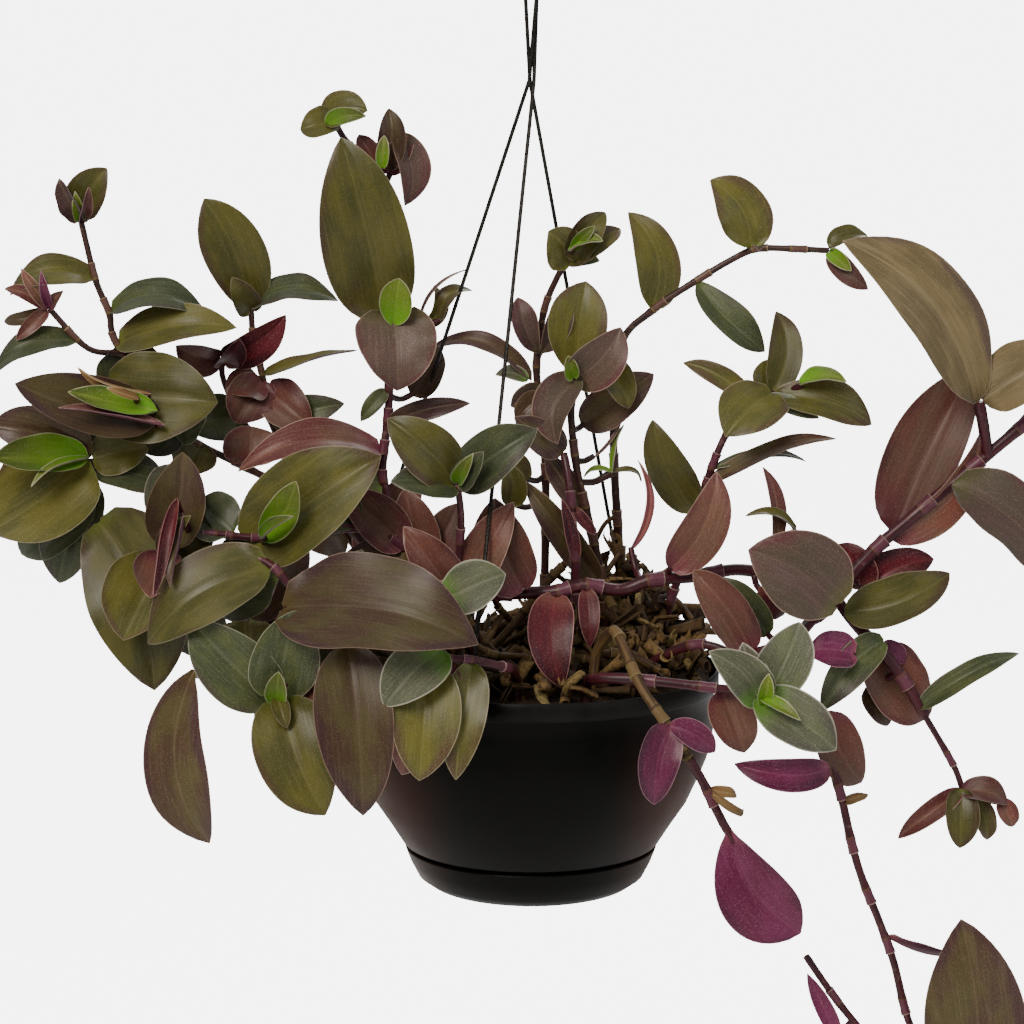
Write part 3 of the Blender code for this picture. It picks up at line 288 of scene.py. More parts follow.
        Leaf(TWIG, (-77, -16, 404), 8, Skin.LIME, cup=36, base=(-78, -14, 387)),
        Leaf(8, (-99, -22, 402), 45, Skin.OLIVE, arch=0.05, cup=12, sway=0.03),
        Leaf(TWIG, (-69, -34, 330), 19, Skin.LIME, arch=0.06, cup=34, belly=1.2, base=(-72, -26, 306)),
        Leaf(8, (-107, 12, 334), 18, Skin.VELVET, arch=0.08, cup=12),
        Leaf(TWIG, (-70, -36, 273), 40, Skin.VELVET, face=(0.05, -1, 0.35), cup=14, belly=0.66,
             base=(-72, -24, 312)),
        Leaf(TWIG, (-33, 14, 324), 12, Skin.OLIVE, face=(0, -0.7, 1), arch=0.35, cup=22, curl=0.3,
             base=(-49, 10, 306)),
        Leaf(TWIG, (-52, 12, 325), 10, Skin.OLIVE, face=(0.6, -1, 0.3), arch=0.2, cup=26, sway=0.2,
             base=(-58, 10, 304)),
        Leaf(TWIG, (-34, 6, 334), 2, Skin.VELVET, arch=0.15, cup=10, sway=-0.15, base=(-60, 8, 306)),
        Leaf(7, (-91, -8, 254), 9, Skin.TEAL, cup=12),
        Leaf(TWIG, (-49, 14, 292), 18, Skin.BRONZE, face=(0.4, -1, 0.2), arch=0.08, cup=22,
             base=(-64, 8, 266)),
        Leaf(6, (-33, -12, 264), 12, Skin.BRONZE, face=(0, -1, 0.4), cup=14),
        Leaf(5, (-153, -36, 233), 24, Skin.PLUM, face=(0, -0.9, 1), arch=0.2, cup=12),
        Leaf(4, (-110, -10, 222), 30, Skin.TEAL, face=(0, -1, 0.5), arch=0.12, cup=10),
        Leaf(TWIG, (-121, -12, 408), 19, Skin.OLIVE, face=(-0.2, -1, 0.5), arch=0.12, cup=24, sway=-0.1,
             belly=1.0, base=(-102, -6, 413)),
        Leaf(TWIG, (-86, -14, 417), 20, Skin.OLIVE, face=(0.1, -1, 0.5), cup=24, sway=-0.14,
             base=(-108, -8, 410)),
        Leaf(TWIG, (-87, -18, 414), 10, Skin.LIME, face=(0, -1, 0.1), arch=0.12, cup=30, sway=-0.1,
             base=(-107, -10, 409)),
    )),
    Shoot("shoot_front_centre_upright", Bark.STEM, (2.6, 2.0), (
        ((-26, -48), (-36, -60, 150), (-38, -68, 180), (-36, -79, 210), (-38, -82, 230)),
    ), (
        Leaf(4, (-71, -94, 263), 27, Skin.OLIVE, face=(-0.1, -1, 0.5), arch=0.14, cup=14, belly=0.9),
        Leaf(4, (1, -94, 258), 26, Skin.TEAL, face=(0.1, -1, 0.5), arch=0.12, cup=12),
        Leaf(4, (-25, -102, 247), 15, Skin.TEAL, cup=34),
        Leaf(4, (-30, -102, 246), 9, Skin.LIME, cup=38),
        Leaf(3.9, (-70, -100, 233), 20, Skin.TEAL, face=(-0.1, -1, 0.6), arch=0.12, cup=12),
        Leaf(4, (-46, -70, 256), 14, Skin.OLIVE, cup=20),
        Leaf(TWIG, (-14, -104, 187), 25, Skin.HAIRY, face=(0, -1, 0.5), arch=0.08, cup=10, belly=1.0,
             base=(-46, -100, 172)),
        Leaf(1.6, (-64, -78, 206), 22, Skin.PLUM, face=(0, -1, 0.4), cup=12),
        Leaf(1.6, (-10, -70, 218), 22, Skin.PLUM, face=(0, -1, 0.4), cup=12),
    )),
    Shoot("shoot_centre_tall", Bark.BROWN_STEM, (2.7, 1.9), (
        ((6, 6), (7, 5, 150), (8, 5, 206), (7, 6, 238), (3, 8, 277), (4, 8, 292), (8, 7, 316),
         (20, 4, 341), (29, 3, 353)),
    ), (
        Leaf(TWIG, (9, -8, 354), 24, Skin.OLIVE, face=(-0.3, -1, 0.3), arch=0.12, cup=26, sway=0.12,
             base=(21, 0, 337)),
        Leaf(TWIG, (39, -6, 364), 18, Skin.OLIVE, face=(0.1, -1, 0.2), arch=0.2, cup=34, sway=-0.1,
             base=(24, -4, 339)),
        Leaf(TWIG, (47, 0, 356), 18, Skin.OLIVE, face=(0.2, -0.9, 0.8), arch=0.2, cup=30, sway=0.1,
             base=(21, 0, 338)),
        Leaf(TWIG, (37, -18, 350), 12, Skin.LIME, face=(0, -0.8, 1), arch=0.15, cup=30,
             base=(20, -10, 344)),
        Leaf(TWIG, (33, -16, 357), 8, Skin.LIME, cup=38, base=(22, -10, 345)),
        Leaf(6.9, (12, -6, 348), 9, Skin.OLIVE, arch=0.08, cup=14),
        Leaf(6.9, (36, -2, 339), 10, Skin.TEAL, face=(0, -1, 0.6), cup=14),
        Leaf(TWIG, (-6, -6, 319), 15, Skin.VELVET, face=(0.2, -1, 0.2), cup=28, sway=-0.12, curl=0.2,
             belly=1.4, base=(4, 0, 290)),
        Leaf(TWIG, (16, -8, 319), 15, Skin.VELVET, face=(-0.1, -1, 0.2), cup=26, sway=0.12, curl=0.2,
             belly=1.4, base=(5, -2, 290)),
        Leaf(TWIG, (-56, 22, 292), 12, Skin.BRONZE, face=(0, -0.8, 1), arch=0.2, cup=18, sway=0.05,
             twist=15, base=(0, 8, 274)),
        Leaf(TWIG, (-19, 6, 278), 9, Skin.HAIRY, face=(0, -1, 0.6), cup=20, sway=0.1, base=(-2, 6, 274)),
        Leaf(TWIG, (-11, 0, 261), 12, Skin.VELVET, cup=14, base=(5, 2, 271)),
        Leaf(TWIG, (-8, -4, 253), 12, Skin.BRONZE, cup=14, sway=0.1, base=(7, -2, 266)),
        Leaf(TWIG, (-13, -24, 232), 15, Skin.OLIVE, face=(0.2, -1, 0.3), cup=24, sway=0.1,
             base=(-12, -18, 210)),
        Leaf(TWIG, (-17, -12, 239), 13, Skin.OLIVE, face=(0.3, -1, 0.5), cup=14, base=(-2, -8, 222)),
    )),
    Shoot("shoot_centre_right", Bark.BROWN_STEM, (2.9, 2.1), (
        ((40, -14), (40, -14, 140), (38, -14, 168), (29, -15, 208), (24, -15, 230), (21, -15, 262),
         (26, -14, 282), (32, -12, 290)),
    ), (
        Leaf(TWIG, (29, -8, 328), 31, Skin.OLIVE, face=(0.05, -1, 0.2), arch=0.06, cup=16, sway=-0.06,
             belly=1.25, base=(25, -8, 278), name="leaf_centre_upright"),
        Leaf(TWIG, (46, -30, 304), 26, Skin.VELVET, face=(0.3, -1, 0.3), cup=26, sway=0.1,
             base=(22, -20, 277)),
        Leaf(TWIG, (19, -30, 290), 9, Skin.LIME, cup=36, base=(22, -24, 278)),
        Leaf(TWIG, (13, -34, 245), 24, Skin.VELVET, face=(-0.4, -1, 0.2), arch=0.14, cup=28, sway=0.2,
             base=(27, -22, 277)),
        Leaf(TWIG, (52, -20, 262), 17, Skin.OLIVE, face=(0.2, -1, 0.3), arch=0.12, cup=20,
             base=(38, -16, 286)),
        Leaf(TWIG, (65, -4, 279), 23, Skin.BRONZE, face=(0, -1, 0.4), arch=0.06, cup=14,
             base=(27, -4, 251), name="leaf_centre_dark"),
        Leaf(TWIG, (49, -4, 257), 2, Skin.VELVET, cup=10, sway=0.1, base=(33, -8, 234)),
        Leaf(TWIG, (48, -4, 252), 5, Skin.LIME, face=(-1, -0.5, 0.2), cup=25, sway=0.1,
             base=(43, -6, 225)),
        Leaf(TWIG, (28, -4, 224), 4, Skin.LIME, face=UP, arch=0.3, cup=20, base=(43, -6, 226)),
        Leaf(TWIG, (60, 0, 221), 4, Skin.OLIVE, face=UP, arch=0.3, cup=20, base=(43, -6, 226)),
        Leaf(3, (8, -6, 236), 14, Skin.BRONZE, face=(-0.2, -1, 0.3), arch=0.12, cup=18),
        Leaf(2, (-4, -18, 222), 16, Skin.BRONZE, face=(-0.3, -1, 0.3), arch=0.12, cup=18),
    )),
    Shoot("shoot_centre_pink", Bark.STEM, (3.2, 2.4), (
        ((24, -34), (24, -33, 140), (23, -32, 182), (21, -31, 210), (19, -27, 228), (17, -22, 238)),
    ), (
        Leaf(5, (-8, -34, 258), 17, Skin.BRONZE, arch=0.06, cup=14),
        Leaf(5, (2, -24, 262), 12, Skin.BRONZE, arch=0.06, cup=18),
        Leaf(2, (16, -40, 216), 8, Skin.CRIMSON, face=(0.3, -1, 0.3), arch=0.06, cup=24),
        Leaf(3, (34, -30, 196), 7, Skin.CRIMSON, face=(0.2, -1, 0.5), arch=0.12, cup=24, sway=0.1),
    )),
    Shoot("shoot_right_arching", Bark.BROWN_STEM, (2.8, 1.9), (
        ((50, 26), (50, 24, 160), (45, 18, 240), (48, 10, 292), (65, 6, 312), (88, 2, 328),
         (108, 0, 340), (120, 0, 345), (138, -2, 345), (158, -2, 344)),
    ), (
        Leaf(4, (52, 4, 364), 23, Skin.OLIVE, arch=0.06, cup=16, sway=0.18, name="leaf_right_upright"),
        Leaf(5, (124, -12, 292), 20, Skin.TEAL, face=(0.2, -1, 0.5), arch=0.08, cup=18, sway=0.08,
             belly=1.2, name="leaf_right_hanging"),
        Leaf(6.8, (95, -6, 381), 28, Skin.OLIVE, arch=0.05, cup=18, sway=0.16, name="leaf_right_top"),
        Leaf(7, (119, -16, 345), 7, Skin.BRONZE, arch=0.05, cup=34),
        Leaf(9, (177, -12, 324), 13, Skin.VELVET, face=(-0.6, -1, 0.2), cup=30),
        Leaf(9, (179, 2, 352), 14, Skin.OLIVE, face=(-0.3, -0.8, 1), arch=0.15, cup=30),
        Leaf(9, (168, -14, 334), 9, Skin.LIME, face=(-0.3, -1, 0.2), cup=34),
    )),
    Shoot("shoot_right_rosette", Bark.STEM, (2.7, 2.0), (
        ((66, -6), (70, -8, 140), (82, -16, 182), (92, -25, 222), (103, -26, 250),
         (115, -26, 266), (126, -26, 270)),
    ), (
        Leaf(5, (80, -18, 286), 12, Skin.OLIVE, arch=0.06, cup=20, sway=0.05),
        Leaf(6, (100, -54, 252), 32, Skin.OLIVE, face=(-0.2, -1, 0.5), arch=0.16, cup=12, belly=1.1),
        Leaf(6, (128, -20, 288), 20, Skin.OLIVE, arch=0.08),
        Leaf(6, (129, -16, 313), 18, Skin.OLIVE, arch=0.08, cup=18, sway=0.16),
        Leaf(TWIG, (162, -44, 279), 12, Skin.LIME, face=(0, -0.8, 0.9), arch=0.14, cup=30,
             base=(140, -32, 275)),
        Leaf(6, (178, -34, 256), 23, Skin.OLIVE, face=(0.1, -1, 0.6), arch=0.14, cup=14, belly=1.2),
        Leaf(5.8, (150, -34, 258), 9, Skin.TEAL, cup=12),
        Leaf(3, (157, -36, 251), 12, Skin.BRONZE, face=(0, -0.7, 0.9), arch=0.08, cup=20),
        Leaf(3.2, (146, -18, 236), 7, Skin.TEAL, face=UP, arch=0.12, cup=12),
        Leaf(2.6, (64, -28, 256), 22, Skin.OLIVE, arch=0.05, cup=16, sway=-0.1),
    )),
    Shoot("shoot_right_long", Bark.STEM, (3.6, 3.6), (
        ((-18, -12), (-30, -28, 138), (-34, -42, 158), (-26, -48, 166), (-5, -50, 168),
         (13, -51, 169), (28, -49, 172), (46, -47, 169), (62, -46, 174), (84, -40, 175),
         (110, -36, 178), (137, -34, 172), (158, -32, 167), (186, -28, 192), (221, -24, 221),
         (242, -22, 238), (263, -20, 256), (280, -16, 272)),
        ((158, -32, 166), (170, -38, 150), (188, -40, 131), (200, -40, 114), (208, -40, 101)),
        ((156, -32, 167), (144, -52, 152), (126, -70, 144), (113, -80, 141)),
        ((241, -22, 237), (237, -28, 254), (234, -30, 266)),
        ((205, -40, 105), (213, -40, 92), (224, -40, 73), (229, -40, 60)),
    ), (
        Leaf(TWIG, (-19, -66, 219), 31, Skin.PLUM, face=(-0.1, -1, 0.2), arch=0.06, cup=16, sway=-0.08,
             base=(-4, -58, 171), name="leaf_front_upright"),
        Leaf(5, (16, -76, 124), 23, Skin.CRIMSON, face=(0.1, -1, 0.2), arch=0.12, cup=16, sway=0.12),
        Leaf(6, (30, -62, 142), 11, Skin.CRIMSON, cup=20),
        Leaf(TWIG, (95, -56, 231), 24, Skin.PLUM, face=(0.1, -1, 0.2), arch=0.06, cup=18, sway=0.1,
             base=(72, -48, 180), name="leaf_right_bronze"),
        Leaf(TWIG, (57, -28, 235), 5, Skin.SALMON, face=(0.4, -1, 0.2), sway=0.15, base=(52, -32, 188)),
        Leaf(TWIG, (112, -76, 194), 43, Skin.VELVET, face=(-0.15, -1, 0.35), arch=0.08, cup=12, sway=0.06,
             belly=0.95, base=(158, -58, 163), name="leaf_right_round"),
        Leaf(TWIG, (214, -22, 182), 21, Skin.CRIMSON, face=(-0.2, -1, 0.3), arch=0.08, cup=14, sway=-0.08,
             base=(176, -24, 165)),
        Leaf(TWIG, (163, -20, 189), 20, Skin.CRIMSON, face=(-0.3, -1, 0.2), cup=14, sway=0.1,
             base=(176, -24, 166)),
        Leaf(TWIG, (122, -34, 232), 9, Skin.PLUM, face=(0.4, -1, 0.2), arch=0.08, cup=20, sway=0.06,
             belly=1.2, base=(126, -36, 184)),
        Leaf(TWIG, (112, -44, 209), 9, Skin.OLIVE, face=(0, -0.5, 1), arch=0.2, cup=20,
             base=(138, -40, 199)),
        Leaf(TWIG, (134, -40, 155), 18, Skin.CRIMSON, face=(0.2, -1, 0.2), cup=14, base=(118, -48, 170)),
        Leaf(TWIG, (237, 0, 284), 38, Skin.PLUM, face=(-0.3, -1, 0.3), arch=0.05, cup=14,
             base=(194, -14, 194)),
        Leaf(TWIG, (278, -50, 168), 36, Skin.VELVET, face=(0.3, -1, 0.4), cup=14, sway=-0.06,
             base=(221, -30, 222), name="leaf_right_edge_low"),
        Leaf(TWIG, (240, -16, 247), 20, Skin.PLUM, face=(0.3, -1, 0.0), arch=0.08, cup=16, sway=0.1,
             base=(190, -24, 193)),
        Leaf(2, (163, -50, 351), 41, Skin.KHAKI, face=(0.2, -1, 0.4), cup=12, sway=0.1, belly=0.95, stem=3,
             name="leaf_right_edge_huge"),
        Leaf(2, (280, -34, 292), 32, Skin.KHAKI, face=(-0.2, -1, 0.5), cup=14, stem=3),
        Leaf(17, (290, -34, 296), 15, Skin.OLIVE, cup=20),
        Leaf(17, (296, -8, 262), 14, Skin.OLIVE, face=UP, arch=0.14, cup=16),
        Leaf(17, (278, -2, 300), 12, Skin.LIME, cup=25),
        Leaf(TWIG, (218, -44, 179), 26, Skin.OLIVE, face=(-0.1, -0.9, 0.5), arch=0.06, cup=20, sway=0.14,
             base=(164, -42, 157), name="leaf_right_olive"),
        Leaf(TWIG, (143, -58, 139), 21, Skin.MAGENTA, face=(0, -0.8, 0.6), arch=0.14, cup=16,
             base=(168, -54, 136)),
        Leaf(TWIG, (151, -62, 108), 20, Skin.TEAL, face=(0.1, -1, 0.3), cup=24, sway=0.1,
             base=(185, -42, 141)),
        Leaf(TWIG, (214, -28, 97), 33, Skin.PLUM, face=(0.2, -1, 0.2), arch=0.08, cup=14, sway=0.1,
             base=(184, -30, 138), name="leaf_right_plum"),
        Leaf(TWIG, (191, -28, 92), 14, Skin.BRONZE, cup=14, base=(178, -30, 114)),
        Leaf(TWIG, (198, -34, 128), 11, Skin.MAGENTA, face=(0.4, -1, 0.1), cup=20, base=(184, -36, 138)),
        Leaf(TWIG, (256, -42, 135), 13, Skin.TEAL, face=(0.2, -0.9, 0.8), arch=0.16, cup=24,
             base=(204, -40, 104)),
        Leaf(TWIG, (194, -46, 36), 12, Skin.PLUM, face=(0.3, -0.9, 0.8), arch=0.12, cup=24,
             base=(228, -42, 61)),
        Leaf(TWIG, (252, -46, 55), 16, Skin.PLUM, face=(0, -0.9, 0.9), arch=0.2, cup=26,
             base=(228, -42, 60)),
        Leaf(TWIG, (226, -52, 32), 19, Skin.OLIVE, face=(0, -1, 0.1), cup=28, base=(227, -44, 62)),
        Leaf(TWIG, (243, -40, 33), 13, Skin.OLIVE, face=(0.2, -1, 0.2), cup=28, base=(236, -40, 56)),
        Leaf(TWIG, (255, -46, 42), 12, Skin.PLUM, face=(0.2, -1, 0.2), cup=28, base=(248, -44, 56)),
        Leaf(TWIG, (82, -74, 183), 25, Skin.PLUM, face=(-0.3, -1, 0.2), arch=0.08, cup=34, sway=0.05,
             base=(112, -74, 142), name="leaf_front_right_folded"),
        Leaf(TWIG, (95, -60, 178), 17, Skin.TEAL, face=(0.3, -1, 0.2), arch=0.08, cup=20,
             base=(122, -62, 148)),
    ), slim=(4,)),
    Shoot("shoot_front_right_rosette", Bark.STEM, (3.4, 2.4), (
        ((28, -74), (34, -86, 130), (50, -92, 131), (68, -96, 130),
         (90, -99, 128), (114, -101, 126)),
    ), (
        Leaf(TWIG, (133, -104, 162), 27, Skin.HAIRY, face=(0.1, -1, 0.4), arch=0.08, cup=20, sway=0.05,
             belly=1.0, base=(116, -100, 122)),
        Leaf(TWIG, (88, -112, 148), 22, Skin.HAIRY, face=(-0.3, -1, 0.3), arch=0.12, cup=24, sway=0.15,
             base=(112, -100, 120)),
        Leaf(TWIG, (105, -104, 151), 17, Skin.HAIRY, face=(-0.2, -1, 0.3), arch=0.08, cup=20,
             base=(115, -98, 121)),
        Leaf(TWIG, (150, -122, 102), 28, Skin.HAIRY, face=(0.1, -1, 0.5), cup=14, belly=1.0,
             base=(112, -102, 123)),
        Leaf(TWIG, (132, -122, 117), 8, Skin.LIME, face=(0.3, -1, 0.6), cup=32, base=(114, -108, 124)),
        Leaf(TWIG, (117, -114, 138), 9, Skin.LIME, cup=34, base=(115, -106, 121)),
        Leaf(TWIG, (108, -94, 93), 22, Skin.PLUM, arch=0.08, cup=14, base=(96, -92, 126)),
    )),
    Shoot("shoot_trailing_right", Bark.STEM, (2.6, 2.2), (
        ((56, -42), (62, -45, 130), (86, -56, 142), (108, -66, 136), (134, -76, 118),
         (149, -84, 91), (157, -86, 72), (164, -86, 43), (170, -86, 24), (179, -85, 2),
         (187, -85, -20), (196, -85, -53), (212, -87, -80), (230, -92, -88)),
        ((207, -86, -74), (190, -88, -76), (168, -88, -52), (154, -88, -34), (141, -88, -15)),
    ), (
        Leaf(4.6, (104, -78, 128), 18, Skin.PLUM, face=(-0.3, -1, 0.4), arch=0.08, cup=20),
        Leaf(TWIG, (103, -98, 89), 17, Skin.MAGENTA, face=(-0.1, -1, 0.4), cup=20, sway=-0.1,
             base=(151, -90, 84), name="leaf_right_magenta"),
        Leaf(TWIG, (171, -76, 73), 24, Skin.PLUM, face=(0.2, -1, 0.3), cup=14, sway=0.1,
             base=(151, -80, 112)),
        Leaf(TWIG, (171, -88, 70), 6, Skin.DRY, face=(0, -1, 0.3), arch=0.3, cup=30, twist=40, curl=0.3,
             base=(160, -86, 66)),
        Leaf(9.4, (230, -78, -16), 13, Skin.PLUM, face=(0, 0.4, 1), arch=-0.1, cup=24),
        Leaf(TWIG, (142, -92, -24), 10, Skin.MAGENTA, arch=0.05, cup=30, base=(158, -88, -58)),
        Leaf(13, (217, -108, 9), 50, Skin.BRONZE, face=(-0.1, -1, 0.2), arch=0.06, cup=12, sway=0.05,
             name="leaf_trailing_broad"),
        Leaf(13, (262, -100, -102), 22, Skin.OLIVE, cup=14),
        Leaf(13, (244, -96, -116), 14, Skin.LIME, cup=20),
    )),
    Shoot("shoot_old_trailing", Bark.OLD_STEM, (3.0, 2.7), (
        ((32, -60), (34, -61, 140), (42, -72, 152), (48, -90, 142), (54, -104, 130),
         (62, -112, 119), (72, -116, 105), (78, -116, 94)),
        ((78, -116, 95), (84, -116, 85), (96, -117, 61), (103, -118, 52)),
    ), (
        Leaf(TWIG, (61, -128, 75), 22, Skin.MAGENTA, face=(0.3, -1, 0.3), arch=0.08, cup=24, sway=0.1,
             belly=0.75, base=(68, -120, 113)),
        Leaf(TWIG, (90, -124, 101), 14, Skin.MAGENTA, face=(-0.1, -1, 0.4), cup=24, sway=-0.06, belly=1.1,
             base=(67, -120, 113)),
        Leaf(TWIG, (134, -122, 7), 36, Skin.MAGENTA, face=(-0.2, -1, 0.1), arch=0.05, cup=14, sway=0.1,
             belly=1.5, base=(98, -118, 60), name="leaf_trailing_magenta"),
        Leaf(1.2, (103, -112, 76), 7, Skin.DRY, face=(0, -1, 0.1), arch=0.2, cup=35, twist=60, curl=0.3,
             stem=1),
        Leaf(1.2, (108, -112, 66), 6, Skin.DRY, face=(0, -1, 0.1), arch=0.3, cup=45, sway=0.1, twist=60,
             curl=0.4, stem=1),
        Leaf(6.6, (66, -120, 102), 7, Skin.DRY, face=(0, -1, 0.4), arch=0.2, cup=35, sway=0.1, twist=40),
    ), (1,)),
    Shoot("shoot_front_left_hanging", Bark.STEM, (2.9, 2.1), (
        ((-68, -42), (-76, -66, 134), (-88, -86, 140), (-102, -104, 141), (-128, -102, 129),
         (-147, -97, 131), (-170, -92, 133)),
    ), (
        Leaf(6, (-118, -108, 168), 33, Skin.TEAL, face=(0.1, -1, 0.2), arch=0.06, cup=14,
             base=(-129, -102, 124), name="leaf_low_left_dark"),
        Leaf(TWIG, (-103, -124, 69), 39, Skin.OLIVE, face=(0.05, -1, 0.25), arch=0.08, cup=12, sway=0.05,
             base=(-126, -106, 124), name="leaf_low_left_bronze"),
        Leaf(TWIG, (-126, -116, 139), 12, Skin.LIME, arch=0.08, cup=30, base=(-128, -108, 122)),
        Leaf(TWIG, (-122, -118, 112), 10, Skin.OLIVE, cup=34, base=(-127, -108, 125)),
        Leaf(TWIG, (-170, -108, 163), 33, Skin.TEAL, face=(-0.2, -1, 0.3), arch=0.08, cup=12,
             base=(-131, -100, 120), name="leaf_low_left_glossy"),
        Leaf(TWIG, (-164, -106, 48), 31, Skin.BRONZE, face=(-0.1, -1, 0.2), arch=0.08, cup=14, sway=0.14,
             belly=1.25, base=(-169, -104, 138), name="leaf_low_left_long"),
        Leaf(TWIG, (-84, -130, 70), 37, Skin.BRONZE, face=(0, -1, 0.25), arch=0.08, cup=11, sway=-0.03,
             base=(-92, -112, 152), name="leaf_front_long"),
        Leaf(3, (-140, -84, 96), 30, Skin.PLUM, face=(-0.2, -1, 0.2), arch=0.08, cup=12),
        Leaf(2, (-64, -96, 92), 32, Skin.OLIVE, face=(0.1, -1, 0.2), arch=0.08, cup=12),
    )),
    Shoot("shoot_front_hanging", Bark.STEM, (2.8, 2.2), (
        ((-8, -68), (-10, -84, 134), (-16, -104, 140), (-30, -109, 144), (-46, -111, 145),
         (-58, -113, 144)),
    ), (
        Leaf(TWIG, (-73, -128, 125), 27, Skin.HAIRY, face=(-0.1, -1, 0.4), arch=0.12, cup=16,
             base=(-45, -112, 150)),
        Leaf(4.6, (-56, -130, 88), 33, Skin.OLIVE, face=(0, -1, 0.2), arch=0.08, cup=12,
             name="leaf_front_olive"),
        Leaf(3, (-38, -128, 88), 21, Skin.OLIVE, face=(0, -1, 0.2), arch=0.08, cup=12, sway=0.03,
             name="leaf_front_green"),
        Leaf(3.6, (-66, -106, 84), 28, Skin.PLUM, face=(0, -1, 0.2), arch=0.08, cup=12, sway=0.03),
    )),
)


def linear(colour: str, alpha: float = 1.0) -> tuple:
    """Turn an sRGB hex colour to linear values.

    Args:
        colour: six hex digits, with or without a leading #.
        alpha: the fourth value of the result.

    Returns:
        Red, green, blue and alpha for a shader's socket.
    """
    digits = colour.lstrip("#")
    values = [int(digits[place:place + 2], 16) / 255 for place in (0, 2, 4)]
    curve = [v / 12.92 if v <= 0.04045 else ((v + 0.055) / 1.055) ** 2.4 for v in values]
    return (*curve, alpha)


def plug(tree: bpy.types.NodeTree, node: bpy.types.Node, inputs: dict) -> None:
    """Set a node's inputs, and link those that are given a socket.

    Args:
        tree: the node's tree.
        node: the node.
        inputs: a value or an output socket for each input, by the input's name or place.
    """
    for place, value in inputs.items():
        if isinstance(value, bpy.types.NodeSocket):
            tree.links.new(value, node.inputs[place])
        else:
            node.inputs[place].default_value = value


def add_node(tree: bpy.types.NodeTree, kind: str, inputs: dict | None = None, **settings) -> bpy.types.Node:
    """Add one node with its settings and its inputs.

    Args:
        tree: the tree that takes the node.
        kind: the node's type name, without the ShaderNode that it starts with.
        inputs: a value or an output socket for each input, by the input's name or place.
        settings: properties of the node itself.

    Returns:
        The new node.
    """
    node = tree.nodes.new("ShaderNode" + kind)
    for name, value in settings.items():
        setattr(node, name, value)
    plug(tree, node, inputs or {})
    return node


def new_material(name: str) -> tuple:
    """Make a material with a Principled shader.

    Args:
        name: what the material is.

    Returns:
        The material, its node tree and its Principled shader.
    """
    made = bpy.data.materials.new(name)
    made.use_nodes = True
    return made, made.node_tree, made.node_tree.nodes["Principled BSDF"]


def ramp(tree: bpy.types.NodeTree, value: bpy.types.NodeSocket, low: float, high: float,
         top: float = 1.0) -> bpy.types.NodeSocket:
    """Add a smooth step from 0 at low to top at high.

    Args:
        tree: the tree that takes the node.
        value: the output socket to read.
        low: the value that gives 0.
        high: the value that gives top; below low, the step falls.
        top: the most that it gives.

    Returns:
        The node's output socket.
    """
    first, last, least, most = (low, high, 0.0, top) if low < high else (high, low, top, 0.0)
    return add_node(tree, "MapRange", {
        "Value": value, "From Min": first, "From Max": last, "To Min": least, "To Max": most,
    }, interpolation_type="SMOOTHSTEP").outputs["Result"]


def blend(tree: bpy.types.NodeTree, share: bpy.types.NodeSocket, under: bpy.types.NodeSocket | tuple,
          over: bpy.types.NodeSocket | tuple) -> bpy.types.NodeSocket:
    """Mix two colours.

    Args:
        tree: the tree that takes the node.
        share: the socket that says how much of the second colour shows.
        under: the first colour, as a socket or a linear colour.
        over: the second colour, as a socket or a linear colour.

    Returns:
        The mixed colour's output socket.
    """
    node = add_node(tree, "Mix", {0: share, 6: under, 7: over}, data_type="RGBA")
    return node.outputs[2]


def split(tree: bpy.types.NodeTree, name: str) -> tuple:
    """Read a vector attribute of the mesh.

    Args:
        tree: the tree that takes the nodes.
        name: the attribute's name.

    Returns:
        The vector's socket and a tuple of its three values' sockets.
    """
    vector = add_node(tree, "Attribute", attribute_name=name).outputs["Vector"]
    parts = add_node(tree, "SeparateXYZ", {0: vector}).outputs
    return vector, tuple(parts)


